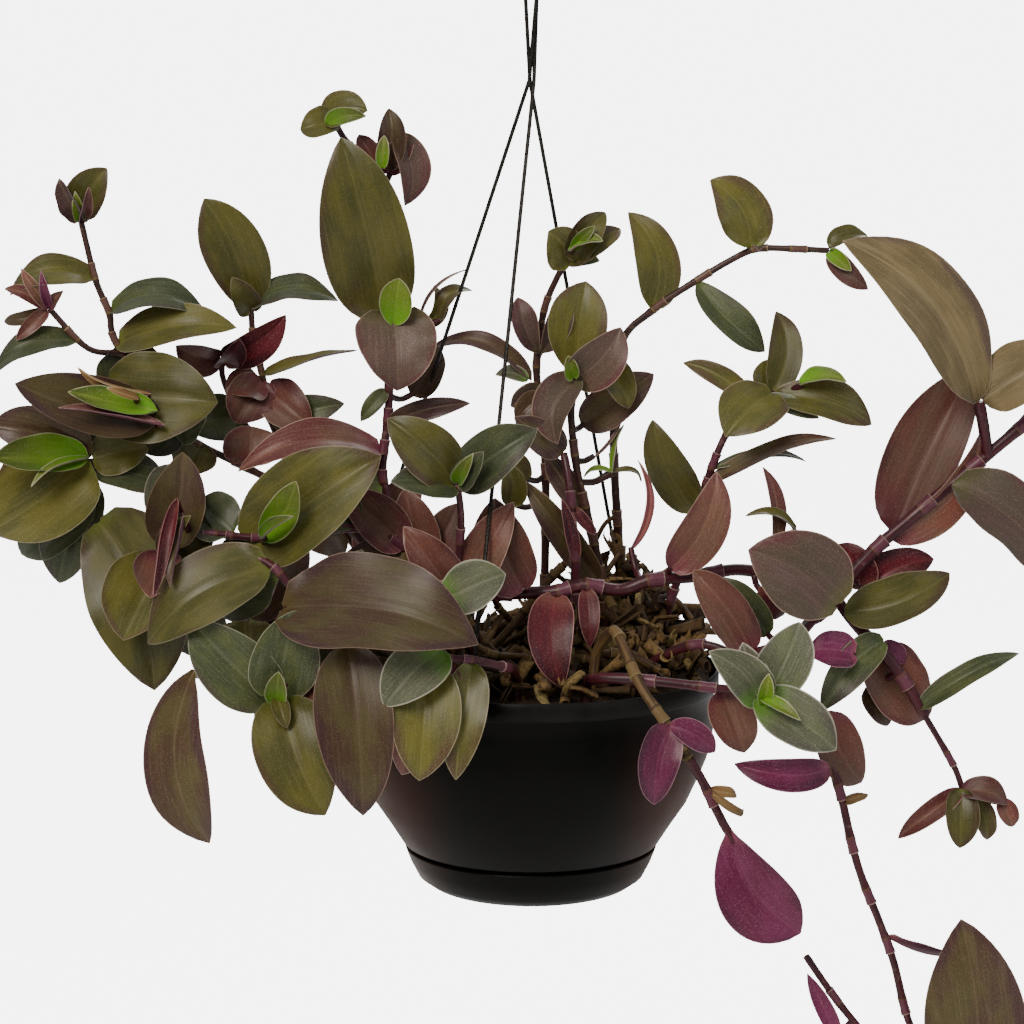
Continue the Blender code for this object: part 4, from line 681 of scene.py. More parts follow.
@dataclass(frozen=True)
class LeafFinish:
    """One face of a leaf, as grown: cuticle over fleshy green or purple tissue, lightly downy.

    ground and second are the two tones that drift along the blade, streak is the fibres' tone,
    flush the patches of other pigment, base the tone by the stem and margin the pale edge,
    which is rim metres wide.
    """

    name: str
    ground: str
    second: str
    streak: str
    flush: str
    flush_share: float
    base: str
    base_reach: float
    margin: str
    roughness: float
    sheen: float
    rim: float = 0.0007

    def build(self) -> bpy.types.Material:
        """Make the material from the blade's own length and breadth attributes.

        Returns:
            The material.
        """
        made, tree, shader = new_material(self.name)
        place, (across, _, edge) = split(tree, "blade")
        _, (_, share, tone) = split(tree, "growth")
        drift = add_node(tree, "CombineXYZ", {2: tone}).outputs[0]
        # Clouds of pigment about 13 mm wide, drawn out to 30 mm along the blade.
        cloud_at = add_node(tree, "VectorMath", {0: place, 1: (1.0, 0.45, 0.0), 2: drift},
                            operation="MULTIPLY_ADD").outputs[0]
        cloud = add_node(tree, "TexNoise", {
            "Vector": cloud_at, "Scale": 75.0, "Detail": 3.0, "Roughness": 0.55,
        }).outputs[0]
        # Parallel fibres, 0.5 mm apart in a real blade, drawn 1.1 mm apart so that they show.
        fibre_at = add_node(tree, "VectorMath", {0: place, 1: (1.0, 0.04, 0.0), 2: drift},
                            operation="MULTIPLY_ADD").outputs[0]
        fibre = add_node(tree, "TexNoise", {
            "Vector": fibre_at, "Scale": 900.0, "Detail": 2.0, "Roughness": 0.6,
        }).outputs[0]
        # Fine down, drawn in grains of 0.7 mm so that it shows, which greys the surface.
        down = add_node(tree, "TexNoise", {"Vector": place, "Scale": 1500.0, "Detail": 2.0}).outputs[0]
        colour = blend(tree, ramp(tree, cloud, 0.38, 0.64), linear(self.ground), linear(self.second))
        # Patches of the flush pigment, about 28 mm across and likelier by the margin.
        patch_at = add_node(tree, "VectorMath", {
            0: cloud_at, 1: (0.6, 0.6, 1.0), 2: (3.1, 1.7, 0.4),
        }, operation="MULTIPLY_ADD").outputs[0]
        patch = add_node(tree, "TexNoise", {"Vector": patch_at, "Scale": 60.0, "Detail": 2.0}).outputs[0]
        rimward = ramp(tree, edge, 0.009, 0.0, 0.22)
        patch_sum = add_node(tree, "Math", {0: patch, 1: rimward}, operation="ADD").outputs[0]
        low = 0.72 - 0.3 * self.flush_share
        colour = blend(tree, ramp(tree, patch_sum, low, low + 0.2, 0.85), colour, linear(self.flush))
        colour = blend(tree, ramp(tree, share, self.base_reach, 0.0, 0.9), colour, linear(self.base))
        colour = blend(tree, ramp(tree, fibre, 0.46, 0.72, 0.3), colour, linear(self.streak))
        # The midrib is a paler line, 2 mm wide, in a shallow groove.
        ridge = add_node(tree, "Math", {0: across}, operation="ABSOLUTE").outputs[0]
        colour = blend(tree, ramp(tree, ridge, 0.0011, 0.0, 0.35), colour, linear(self.streak))
        colour = blend(tree, ramp(tree, down, 0.55, 0.75, 0.42), colour, linear(self.margin))
        # The pale margin of fine hairs, broken up by the fibres.
        broken = ramp(tree, fibre, 0.2, 0.45, 0.9)
        rim = ramp(tree, edge, self.rim, 0.2 * self.rim, 0.85)
        rim = add_node(tree, "Math", {0: rim, 1: broken}, operation="MULTIPLY").outputs[0]
        colour = blend(tree, rim, colour, linear(self.margin))
        light = add_node(tree, "MapRange", {"Value": tone, "To Min": 0.66, "To Max": 1.16}).outputs[0]
        colour = add_node(tree, "HueSaturation", {"Value": light, "Color": colour}).outputs[0]
        gloss = add_node(tree, "MapRange", {
            "Value": cloud, "From Min": 0.3, "From Max": 0.7,
            "To Min": self.roughness - 0.07, "To Max": self.roughness + 0.1,
        }).outputs[0]
        groove = ramp(tree, ridge, 0.0, 0.0012)
        relief = add_node(tree, "Math", {0: fibre, 1: groove}, operation="ADD").outputs[0]
        bump = add_node(tree, "Bump", {"Height": relief, "Strength": 0.32, "Distance": 0.0002}).outputs[0]
        plug(tree, shader, {
            "Base Color": colour, "Roughness": gloss, "Normal": bump, "IOR": 1.42, "Specular IOR Level": 0.36,
            "Sheen Weight": self.sheen, "Sheen Roughness": 0.45, "Sheen Tint": linear("DCE2F0"),
        })
        return made


LEAF_FACES = {
    # Full-grown upper face: olive with a bronze drift and greyish down, softly glossy.
    Skin.OLIVE: LeafFinish("olive_leaf_face", "4B4B20", "5E5A20", "74703E", "4C3829", 0.34,
                           "66702A", 0.1, "998E74", 0.36, 0.1),
    # Upper face grown in strong light: brown over olive, purple at the margins.
    Skin.BRONZE: LeafFinish("bronze_leaf_face", "4A3626", "504826", "6E5C46", "41262C", 0.5,
                            "5A4C26", 0.1, "987E6C", 0.36, 0.12),
    # Shaded upper face: grey-green, with a dull blue bloom.
    Skin.TEAL: LeafFinish("grey_green_leaf_face", "3A4229", "4A502A", "687052", "423A34", 0.22,
                          "4E6424", 0.12, "9A9A80", 0.38, 0.14),
    # Young leaf still folded in the crown: yellow-green at the stem, olive outwards.
    Skin.LIME: LeafFinish("young_leaf_face", "56601C", "5E7212", "7C8A36", "3E4C14", 0.25,
                          "5E9A00", 0.85, "B4B090", 0.45, 0.1, 0.0011),
    # Red-brown face of a half-grown leaf.
    Skin.PLUM: LeafFinish("plum_leaf_face", "6E4036", "644636", "8A6656", "58282A", 0.45,
                          "6E3040", 0.3, "B49A88", 0.4, 0.2),
    # Old upper face: grey-brown with a mauve bloom, softly downy.
    Skin.VELVET: LeafFinish("velvet_leaf_face", "523E36", "4B4032", "6E5A50", "562E32", 0.4,
                            "54542A", 0.22, "A8907C", 0.45, 0.3, 0.0009),
    # Sun-bleached upper face: khaki with long paler streaks.
    Skin.KHAKI: LeafFinish("khaki_leaf_face", "7A6A48", "66583A", "9A8A64", "54423A", 0.4,
                           "54462A", 0.14, "A8987C", 0.4, 0.15),
    # Blade grown in shade low in the crown: deep red.
    Skin.CRIMSON: LeafFinish("crimson_leaf_face", "55131E", "420F14", "722A32", "32101A", 0.4,
                             "6E4438", 0.25, "B0807A", 0.4, 0.12),
    # Old strap-shaped blade that has paled: salmon pink.
    Skin.SALMON: LeafFinish("salmon_leaf_face", "A85A52", "96504E", "C08478", "7E3A4A", 0.3,
                            "8A2E58", 0.25, "CBA698", 0.5, 0.15),
    # Underside: magenta pigment under a smooth skin.
    Skin.MAGENTA: LeafFinish("magenta_leaf_face", "601A3C", "6E234A", "844060", "44122E", 0.4,
                             "8A4558", 0.16, "B58896", 0.36, 0.12),
    # Downy crown leaf: grey-green under white hairs.
    Skin.HAIRY: LeafFinish("downy_leaf_face", "50543E", "5F6446", "878A70", "514B44", 0.18,
                           "5C9400", 0.42, "BDBAA6", 0.55, 0.3, 0.0013),
    # Withered blade and bract: tan and papery.
    Skin.DRY: LeafFinish("withered_leaf_face", "7A5A34", "8E7046", "A88E66", "4C3122", 0.4,
                         "6A4426", 0.2, "B9A27C", 0.75, 0.05),
}

LEAF_BACKS = {
    # Back of an olive leaf: dull purple with green showing through.
    Skin.OLIVE: LeafFinish("olive_leaf_back", "63384A", "6A4A48", "8A6670", "54283E", 0.4,
                           "8A5A54", 0.15, "AA8E8C", 0.42, 0.12),
    # Back of a bronze leaf: red-purple.
    Skin.BRONZE: LeafFinish("bronze_leaf_back", "64263E", "6E3244", "8C5566", "481A30", 0.4,
                            "86404E", 0.15, "AA848A", 0.4, 0.12),
    # Back of a magenta-faced leaf, which is its upper side: olive-bronze.
    Skin.MAGENTA: LeafFinish("magenta_leaf_back", "565234", "5C4638", "7C745A", "4A2F35", 0.4,
                             "66663A", 0.12, "A99C88", 0.45, 0.12),
    # Back of a young leaf: yellow-green flushed with pink.
    Skin.LIME: LeafFinish("young_leaf_back", "7A8A2A", "8C6A50", "A0A870", "8A4A5E", 0.4,
                          "88A23A", 0.3, "BCC0A4", 0.5, 0.2),
}
BACK_OF = {Skin.TEAL: Skin.OLIVE, Skin.HAIRY: Skin.OLIVE, Skin.PLUM: Skin.BRONZE, Skin.VELVET: Skin.OLIVE,
           Skin.KHAKI: Skin.OLIVE}


@dataclass(frozen=True)
class StemFinish:
    """A jointed stem: glossy internodes, and a paler papery sheath above each joint."""

    name: str
    internode: str
    internode_dark: str
    sheath: str
    ring: str
    joint: str
    roughness: float

    def build(self) -> bpy.types.Material:
        """Make the material from the stem's own length attributes.

        Returns:
            The material.
        """
        made, tree, shader = new_material(self.name)
        around, _ = split(tree, "stem")
        _, (above, sheath, tone) = split(tree, "joint")
        # Lengthwise streaks, about 1.4 mm wide.
        streak_at = add_node(tree, "Mapping", {"Vector": around, "Scale": (1.0, 1.0, 0.07)}).outputs[0]
        streak = add_node(tree, "TexNoise", {"Vector": streak_at, "Scale": 700.0, "Detail": 3.0}).outputs[0]
        # Pale specks, about 4 mm across.
        speck = add_node(tree, "TexNoise", {"Vector": around, "Scale": 260.0, "Detail": 3.0}).outputs[0]
        dark = ramp(tree, streak, 0.38, 0.66)
        colour = blend(tree, dark, linear(self.internode), linear(self.internode_dark))
        sleeve = blend(tree, ramp(tree, streak, 0.35, 0.7, 0.6), linear(self.sheath), linear(self.internode))
        colour = blend(tree, sheath, colour, sleeve)
        colour = blend(tree, ramp(tree, above, 0.0016, 0.0004, 0.8), colour, linear(self.joint))
        # The stem's maker adds 2 to the tone on the sheath's lip.
        lip = add_node(tree, "Math", {0: tone, 1: 1.0}, operation="GREATER_THAN").outputs[0]
        colour = blend(tree, lip, colour, linear(self.ring))
        colour = blend(tree, ramp(tree, speck, 0.58, 0.75, 0.3), colour, linear(self.ring))
        gloss = add_node(tree, "MapRange", {
            "Value": streak, "To Min": self.roughness - 0.1, "To Max": self.roughness + 0.12,
        }).outputs[0]
        bump = add_node(tree, "Bump", {"Height": streak, "Strength": 0.4, "Distance": 0.0003}).outputs[0]
        plug(tree, shader, {"Base Color": colour, "Roughness": gloss, "Normal": bump, "IOR": 1.42})
        return made


STEM_FINISHES = {
    # Living stem: maroon succulent internodes with mauve sheaths and thin pale lips.
    Bark.STEM: StemFinish("maroon_stem", "4A1822", "300E16", "633444", "8A6E66", "5E3E28", 0.38),
    # Upper stem that has stood in the sun: dark olive-brown with tan joints.
    Bark.BROWN_STEM: StemFinish("brown_stem", "42241F", "2A1A15", "62443A", "8E7A5C", "6E5C30", 0.42),
    # Old stem: tan and dried, with brown joints.
    Bark.OLD_STEM: StemFinish("tan_old_stem", "644C2C", "3E2C1A", "6E5A36", "84724E", "2E1C10", 0.65),
}


@dataclass(frozen=True)
class PlasticFinish:
    """Moulded black polypropylene: faint flow mottling, dust and a painted highlight on the rim, and a
    painted amber-brown glow of back light low on the flanks.
    """

    name: str
    colour: str
    worn: str
    roughness: float
    grain: float
    # The colour of the painted glow of back light through the plastic, low on the flanks.
    painted_backlight_glow: str = "42200C"
    # The rim band's colour: dust, with a painted highlight.
    rim_dust_and_highlight: str = "242321"

    def build(self) -> bpy.types.Material:
        """Make the material on Object coordinates.

        Returns:
            The material.
        """
        made, tree, shader = new_material(self.name)
        where = add_node(tree, "TexCoord").outputs["Object"]
        # Flow mottling, in clouds of about 45 mm.
        cloud = add_node(tree, "TexNoise", {"Vector": where, "Scale": 22.0, "Detail": 4.0}).outputs[0]
        # Mould grain of about 1 mm.
        grain = add_node(tree, "TexNoise", {"Vector": where, "Scale": 900.0, "Detail": 2.0}).outputs[0]
        colour = blend(tree, ramp(tree, cloud, 0.45, 0.75, 0.6), linear(self.colour), linear(self.worn))
        colour = blend(tree, ramp(tree, grain, 0.68, 0.8, 0.12), colour, linear(self.worn))
        # Painted back light: low down on the flanks the colour turns amber-brown, as if lit through the
        # plastic.
        parts = add_node(tree, "SeparateXYZ", {0: where}).outputs
        flank = add_node(tree, "Math", {0: parts[0]}, operation="ABSOLUTE").outputs[0]
        painted_backlight_glow = add_node(tree, "Math", {
            0: ramp(tree, flank, 0.035, 0.085), 1: ramp(tree, parts[2], 0.12, 0.05),
        }, operation="MULTIPLY").outputs[0]
        colour = blend(tree, painted_backlight_glow, colour, linear(self.painted_backlight_glow))
        # Dust and scuffs, with a painted highlight, grey the rim band.
        rim_dust_and_highlight_share = add_node(tree, "Math", {
            0: ramp(tree, parts[2], 0.1098, 0.1115, 0.8), 1: ramp(tree, cloud, 0.2, 0.6),
        }, operation="MULTIPLY").outputs[0]
        colour = blend(tree, rim_dust_and_highlight_share, colour, linear(self.rim_dust_and_highlight))
        gloss = add_node(tree, "MapRange", {
            "Value": cloud, "From Min": 0.3, "From Max": 0.7,
            "To Min": self.roughness - 0.06, "To Max": self.roughness + 0.12,
        }).outputs[0]
        bump = add_node(tree, "Bump", {
            "Height": grain, "Strength": self.grain, "Distance": 0.0002,
        }).outputs[0]
        plug(tree, shader, {
            "Base Color": colour, "Roughness": gloss, "Normal": bump, "IOR": 1.49, "Specular IOR Level": 0.1,
        })
        return made


@dataclass(frozen=True)
class WireFinish:
    """Drawn steel wire with a dark oxide coat: dull sheen along its length."""

    name: str
    colour: str

    def build(self) -> bpy.types.Material:
        """Make the material on Object coordinates.

        Returns:
            The material.
        """
        made, tree, shader = new_material(self.name)
        where = add_node(tree, "TexCoord").outputs["Object"]
        # Draw marks, about 0.8 mm long.
        marks = add_node(tree, "TexNoise", {"Vector": where, "Scale": 1200.0, "Detail": 2.0}).outputs[0]
        colour = blend(tree, ramp(tree, marks, 0.45, 0.7, 0.5), linear(self.colour), linear("4A4743"))
        gloss = ramp(tree, marks, 0.1, 0.9, 0.75)
        plug(tree, shader, {"Base Color": colour, "Roughness": gloss, "Metallic": 0.7})
        return made


@dataclass(frozen=True)
class SoilFinish:
    """Dry peat and bark: dark crumbs with tan fibres between them."""

    name: str

    def build(self) -> bpy.types.Material:
        """Make the material on Object coordinates.

        Returns:
            The material.
        """
        made, tree, shader = new_material(self.name)
        where = add_node(tree, "TexCoord").outputs["Object"]
        # Crumbs of about 4 mm, and grit and fibres of about 2 mm.
        crumb = add_node(tree, "TexVoronoi", {
            "Vector": where, "Scale": 260.0, "Randomness": 1.0,
        }).outputs["Distance"]
        grit = add_node(tree, "TexNoise", {"Vector": where, "Scale": 420.0, "Detail": 4.0}).outputs[0]
        colour = blend(tree, ramp(tree, grit, 0.35, 0.65), linear("1C120B"), linear("443018"))
        colour = blend(tree, ramp(tree, crumb, 0.55, 0.1, 0.6), colour, linear("3C2A1A"))
        height = add_node(tree, "Math", {0: crumb, 1: grit}, operation="SUBTRACT").outputs[0]
        bump = add_node(tree, "Bump", {"Height": height, "Strength": 0.9, "Distance": 0.002}).outputs[0]
        plug(tree, shader, {"Base Color": colour, "Roughness": 0.95, "Normal": bump})
        return made


@dataclass(frozen=True)
class LitterFinish:
    """Withered sheaths and stems: tan paper, browned and greenish in places."""

    name: str

    def build(self) -> bpy.types.Material:
        """Make the material on Object coordinates and each scrap's own tone.

        Returns:
            The material.
        """
        made, tree, shader = new_material(self.name)
        where = add_node(tree, "TexCoord").outputs["Object"]
        tone = add_node(tree, "Attribute", attribute_name="tone").outputs["Fac"]
        # Wrinkles about 2 mm apart.
        wrinkle = add_node(tree, "TexNoise", {
            "Vector": where, "Scale": 420.0, "Detail": 4.0, "Distortion": 0.6,
        }).outputs[0]
        colour = blend(tree, tone, linear("2C1D10"), linear("8A6C3C"))
        colour = blend(tree, ramp(tree, tone, 0.72, 0.95, 0.6), colour, linear("7A7444"))
        colour = blend(tree, ramp(tree, wrinkle, 0.42, 0.68, 0.75), colour, linear("3A2716"))
        bump = add_node(tree, "Bump", {"Height": wrinkle, "Strength": 0.7, "Distance": 0.0008}).outputs[0]
        plug(tree, shader, {"Base Color": colour, "Roughness": 0.82, "Normal": bump})
        return made


@dataclass(frozen=True)
class BackdropFinish:
    """Matt painted board, very pale."""

    name: str

    def build(self) -> bpy.types.Material:
        """Make the material: a faint roller texture of about 4 mm.

        Returns:
            The material.
        """
        made, tree, shader = new_material(self.name)
        where = add_node(tree, "TexCoord").outputs["Object"]
        roller = add_node(tree, "TexNoise", {"Vector": where, "Scale": 240.0, "Detail": 2.0}).outputs[0]
        colour = blend(tree, roller, linear("F1F1F0"), linear("F5F5F4"))
        seen = add_node(tree, "LightPath").outputs["Is Camera Ray"]
        bright = add_node(tree, "Math", {0: seen, 1: 5.5}, operation="MULTIPLY").outputs[0]
        plug(tree, shader, {
            "Base Color": colour, "Roughness": 0.9, "Emission Color": linear("FFFFFF"),
            "Emission Strength": bright,
        })
        return made


def deselect() -> None:
    """Leave nothing selected."""
    bpy.ops.object.select_all(action="DESELECT")


def dress(piece: bpy.types.Object, nodes: list | None = None) -> None:
    """Fix a finished piece to the frame.

    Args:
        piece: the finished piece.
        nodes: the frame's nodes that it stands for.
    """
    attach(piece, ROOT)
    if nodes:
        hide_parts(*nodes)
    LOG.info("%s: %d faces", piece.name, len(piece.data.polygons))


@dataclass
class Patch:
    """A mesh that grows as blades and tubes are put into it."""

    points: list = field(default_factory=list)
    faces: list = field(default_factory=list)
    slots: list = field(default_factory=list)
    values: dict = field(default_factory=dict)
    count: int = 0

    def add(self, points: np.ndarray, faces: np.ndarray, slots: np.ndarray, **values) -> None:
        """Put in one shape.

        Args:
            points: its vertices, in metres.
            faces: its faces, as places in points.
            slots: the material slot of each face.
            values: vectors or numbers for each vertex, by the attribute's name.
        """
        self.points.append(points)
        self.faces.extend((faces + self.count).tolist())
        self.slots.append(slots)
        for name, value in values.items():
            self.values.setdefault(name, []).append(value)
        self.count += len(points)

    def finish(self, name: str, materials: list, angle: float = 60.0) -> bpy.types.Object:
        """Make the object.

        Args:
            name: the object's name.
            materials: its material slots.
            angle: edges sharper than this, in degrees, stay sharp.

        Returns:
            The new object, smooth, at the origin.
        """
        mesh = bpy.data.meshes.new(name)
        mesh.from_pydata(np.concatenate(self.points).tolist(), [], self.faces)
        mesh.polygons.foreach_set("material_index", np.concatenate(self.slots).astype(np.int32))
        for kind, parts in self.values.items():
            data = np.concatenate(parts).astype(np.float32)
            if data.ndim == 1:
                mesh.attributes.new(kind, "FLOAT", "POINT").data.foreach_set("value", data)
            else:
                mesh.attributes.new(kind, "FLOAT_VECTOR", "POINT").data.foreach_set("vector", data.ravel())
        mesh.shade_smooth()
        mesh.set_sharp_from_angle(angle=math.radians(angle))
        for made in materials:
            mesh.materials.append(made)
        mesh.update()
        piece = bpy.data.objects.new(name, mesh)
        bpy.context.scene.collection.objects.link(piece)
        return piece


@dataclass
class BladeTemplate:
    """The flat blade that every leaf is bent from: two skins that meet at the margin.

    Its x runs from -1 to 1 across the blade, its y from 0 at the stem to 1 at the tip, and its z is
    1 on the upper skin, -1 on the lower and 0 on the margin.
    """

    across: int = 12
    along: int = 22
    flat: np.ndarray = field(init=False)
    faces: np.ndarray = field(init=False)
    slots: np.ndarray = field(init=False)

    def __post_init__(self) -> None:
        """Model the template with the grid and extrude operators, and keep its arrays."""
        deselect()
        bpy.ops.mesh.primitive_grid_add(x_subdivisions=self.across, y_subdivisions=self.along, size=2)
        template = bpy.context.object
        bpy.ops.object.mode_set(mode="EDIT")
        bpy.ops.mesh.select_all(action="SELECT")
        bpy.ops.mesh.extrude_region_move(TRANSFORM_OT_translate={"value": (0, 0, 1)})
        bpy.ops.object.mode_set(mode="OBJECT")
        for vertex in template.data.vertices:
            edge = max(abs(vertex.co.x), abs(vertex.co.y)) > 0.999
            vertex.co.z = 0.0 if edge else vertex.co.z * 2 - 1
            vertex.co.y = (vertex.co.y + 1) / 2
        bpy.ops.object.mode_set(mode="EDIT")
        bpy.ops.mesh.select_all(action="SELECT")
        bpy.ops.mesh.remove_doubles(threshold=0.001)
        bpy.ops.mesh.normals_make_consistent(inside=False)
        bpy.ops.object.mode_set(mode="OBJECT")
        mesh = template.data
        self.flat = np.array([vertex.co for vertex in mesh.vertices])
        self.faces = np.array([list(face.vertices) for face in mesh.polygons])
        centre = self.flat[self.faces].mean(1)
        self.slots = (centre[:, 2] < 0).astype(int)
        bpy.data.objects.remove(template, do_unlink=True)


def half_breadth(t: np.ndarray, belly: float) -> np.ndarray:
    """Return half of a blade's breadth along it, for a breadth of 1.

    Args:
        t: places from 0 at the stem to 1 at the tip.
        belly: where the blade is broadest; a larger value is nearer the tip.

    Returns:
        Half the breadth at each place.
    """
    swell = np.maximum(1 - np.abs(2 * np.minimum(t, 1.0) ** belly - 1) ** 2.1, 0) ** 0.64
    return 0.5 * (0.1 * (1 - t) + 0.96 * swell) * (1 - 0.35 * t**9)


def unit(vectors: np.ndarray) -> np.ndarray:
    """Scale each vector to a length of 1."""
    return vectors / np.maximum(np.linalg.norm(vectors, axis=-1, keepdims=True), 1e-9)


@dataclass
class BladeMaker:
    """Bends the template into single leaves.

    thickness and least, the smallest half-breadth, are in millimetres. clasp is the share of the
    length that wraps the stem, and curl_from the share at which the tip starts to bend back.
    """

    template: BladeTemplate
    thickness: float = 1.0
    fullness: float = 1.06
    least: float = 0.3
    clasp: float = 0.07
    curl_from: float = 0.62

    def bend(self, patch: Patch, leaf: Leaf, start: Vector, seed: int, slot: int = 0) -> None:
        """Put one leaf into a patch.

        Args:
            patch: the mesh that takes the leaf.
            leaf: the leaf's shape.
            start: where it leaves its stem, in millimetres.
            seed: picks the leaf's own small irregularities.
            slot: the first of its two material slots.
        """
        rng = random.Random(seed)
        flat = self.template.flat
        u, t, skin = flat[:, 0], flat[:, 1], flat[:, 2]
        tip = np.array(leaf.tip, float)
        base = np.array(start, float)
        length = float(np.linalg.norm(tip - base))
        along = unit(tip - base)
        face = np.array(leaf.face, float)
        normal = unit(face - along * face.dot(along))
        side = np.cross(along, normal)
        sway = leaf.sway + rng.uniform(-0.02, 0.02)
        curl = leaf.curl * rng.uniform(0.5, 1.5)

        def midrib(v: np.ndarray) -> np.ndarray:
            """Return the midrib's places for shares of the leaf's length."""
            bow = 4 * v * (1 - v) * length
            back = np.clip((v - self.curl_from) / (1 - self.curl_from), 0, 1) ** 2 * length * curl
            place = base + np.outer(v * length, along) + np.outer(leaf.arch * bow - back, normal)
            return place + np.outer(sway * bow, side)

        centre = midrib(t)
        tangent = unit(midrib(t + 0.01) - midrib(t - 0.01))
        turn = np.radians(leaf.twist) * t
        flank = np.cos(turn)[:, None] * side + np.sin(turn)[:, None] * normal
        upward = unit(np.cross(flank, tangent))
        flank = unit(np.cross(tangent, upward))
        lean = 1 + 0.07 * np.sin(3 * t + rng.uniform(0, 6)) * np.sign(u)
        half = np.maximum(leaf.width * self.fullness * half_breadth(t, leaf.belly) * lean, self.least)
        clasp = np.exp(-((t / self.clasp) ** 2))
        arc = 2 * np.radians(leaf.cup) * (1 - 0.35 * t) + 1.1 * clasp
        arc = np.maximum(arc, 0.05)
        reach = half * np.sin(arc * u) / arc
        lift = half * (1 - np.cos(arc * u)) / arc
        crease = -0.05 * leaf.width * np.exp(-((u / 0.16) ** 2)) * np.sin(np.pi * np.clip(t, 0, 1)) ** 0.5
        waves = rng.uniform(1.3, 2.6)
        phase = rng.uniform(0, 6.28) + np.where(u > 0, rng.uniform(1, 3), 0)
        wavy = leaf.width * rng.uniform(0.015, 0.04) * np.sin(2 * np.pi * waves * t + phase)
        wavy = wavy * np.abs(u) ** 2.5
        thick = self.thickness / 2 * np.sqrt(np.clip(1 - np.abs(u) ** 4, 0, 1)) * (1 + 0.8 * clasp)
        height = lift + crease + wavy * np.sin(np.pi * t) ** 0.5 + skin * thick
        points = centre + flank * reach[:, None] + upward * height[:, None]
        edge = half * (1 - np.abs(u))
        tone = np.full(len(u), rng.random())
        patch.add(
            points * MM, self.template.faces, self.template.slots + slot,
            blade=np.stack((u * half, t * length, edge), 1) * MM,
            growth=np.stack((u, t, tone), 1),
        )


def smooth_route(points: list, steps: int) -> list:
    """Return points along a Catmull-Rom curve.

    Args:
        points: the points that it goes through.
        steps: how many places it gets from each point to the next.

    Returns:
        The places, in order.
    """
    ends = [points[0] * 2 - points[1], *points, points[-1] * 2 - points[-2]]
    route = []
    for first, start, end, last in zip(ends, ends[1:], ends[2:], ends[3:]):
        for step in range(steps):
            t = step / steps
            route.append(0.5 * (
                2 * start + (end - first) * t
                + (2 * first - 5 * start + 4 * end - last) * t**2
                + (3 * start - first - 3 * end + last) * t**3
            ))
    return [*route, points[-1]]


@dataclass
class Route:
    """A stem's smooth centre line, in millimetres.

    A route whose first point has two numbers roots there: it gets three more points of its own,
    at the depths (below soil_top) that roots lists, before the ones that it is given.
    """

    points: tuple
    soil_top: float = 124.0
    roots: tuple = (24, 10, -1)
    steps: int = 8
    line: list = field(init=False)
    length: np.ndarray = field(init=False)
    rooted: bool = field(init=False)

    def __post_init__(self) -> None:
        """Work out the line: a rooted one starts upright below the soil's surface."""
        self.rooted = len(self.points[0]) == 2
        through = [Vector(point) for point in self.points if len(point) == 3]
        if self.rooted:
            x, y = self.points[0]
            through = [*(Vector((x, y, self.soil_top - depth)) for depth in self.roots), *through]
        self.line = smooth_route(through, self.steps)
        gaps = [(b - a).length for a, b in zip(self.line, self.line[1:])]
        self.length = np.concatenate(([0.0], np.cumsum(gaps)))

    def index(self, at: float) -> int:
        """Return the line's place for a count of the route's own points."""
        own = at + (len(self.roots) - 1 if self.rooted else 0)
        return min(round(own * self.steps), len(self.line) - 1)

    def place(self, at: float) -> tuple:
        """Return where the line is for a count of the route's own points.

        Args:
            at: the count.

        Returns:
            The place and the direction there.
        """
        index = self.index(at)
        before = self.line[max(index - 1, 0)]
        after = self.line[min(index + 1, len(self.line) - 1)]
        return self.line[index], (after - before).normalized()

    def read(self, distance: float) -> Vector:
        """Return the place at a distance along the line."""
        array = np.array(self.line)
        return Vector([float(np.interp(distance, self.length, array[:, axis])) for axis in range(3)])


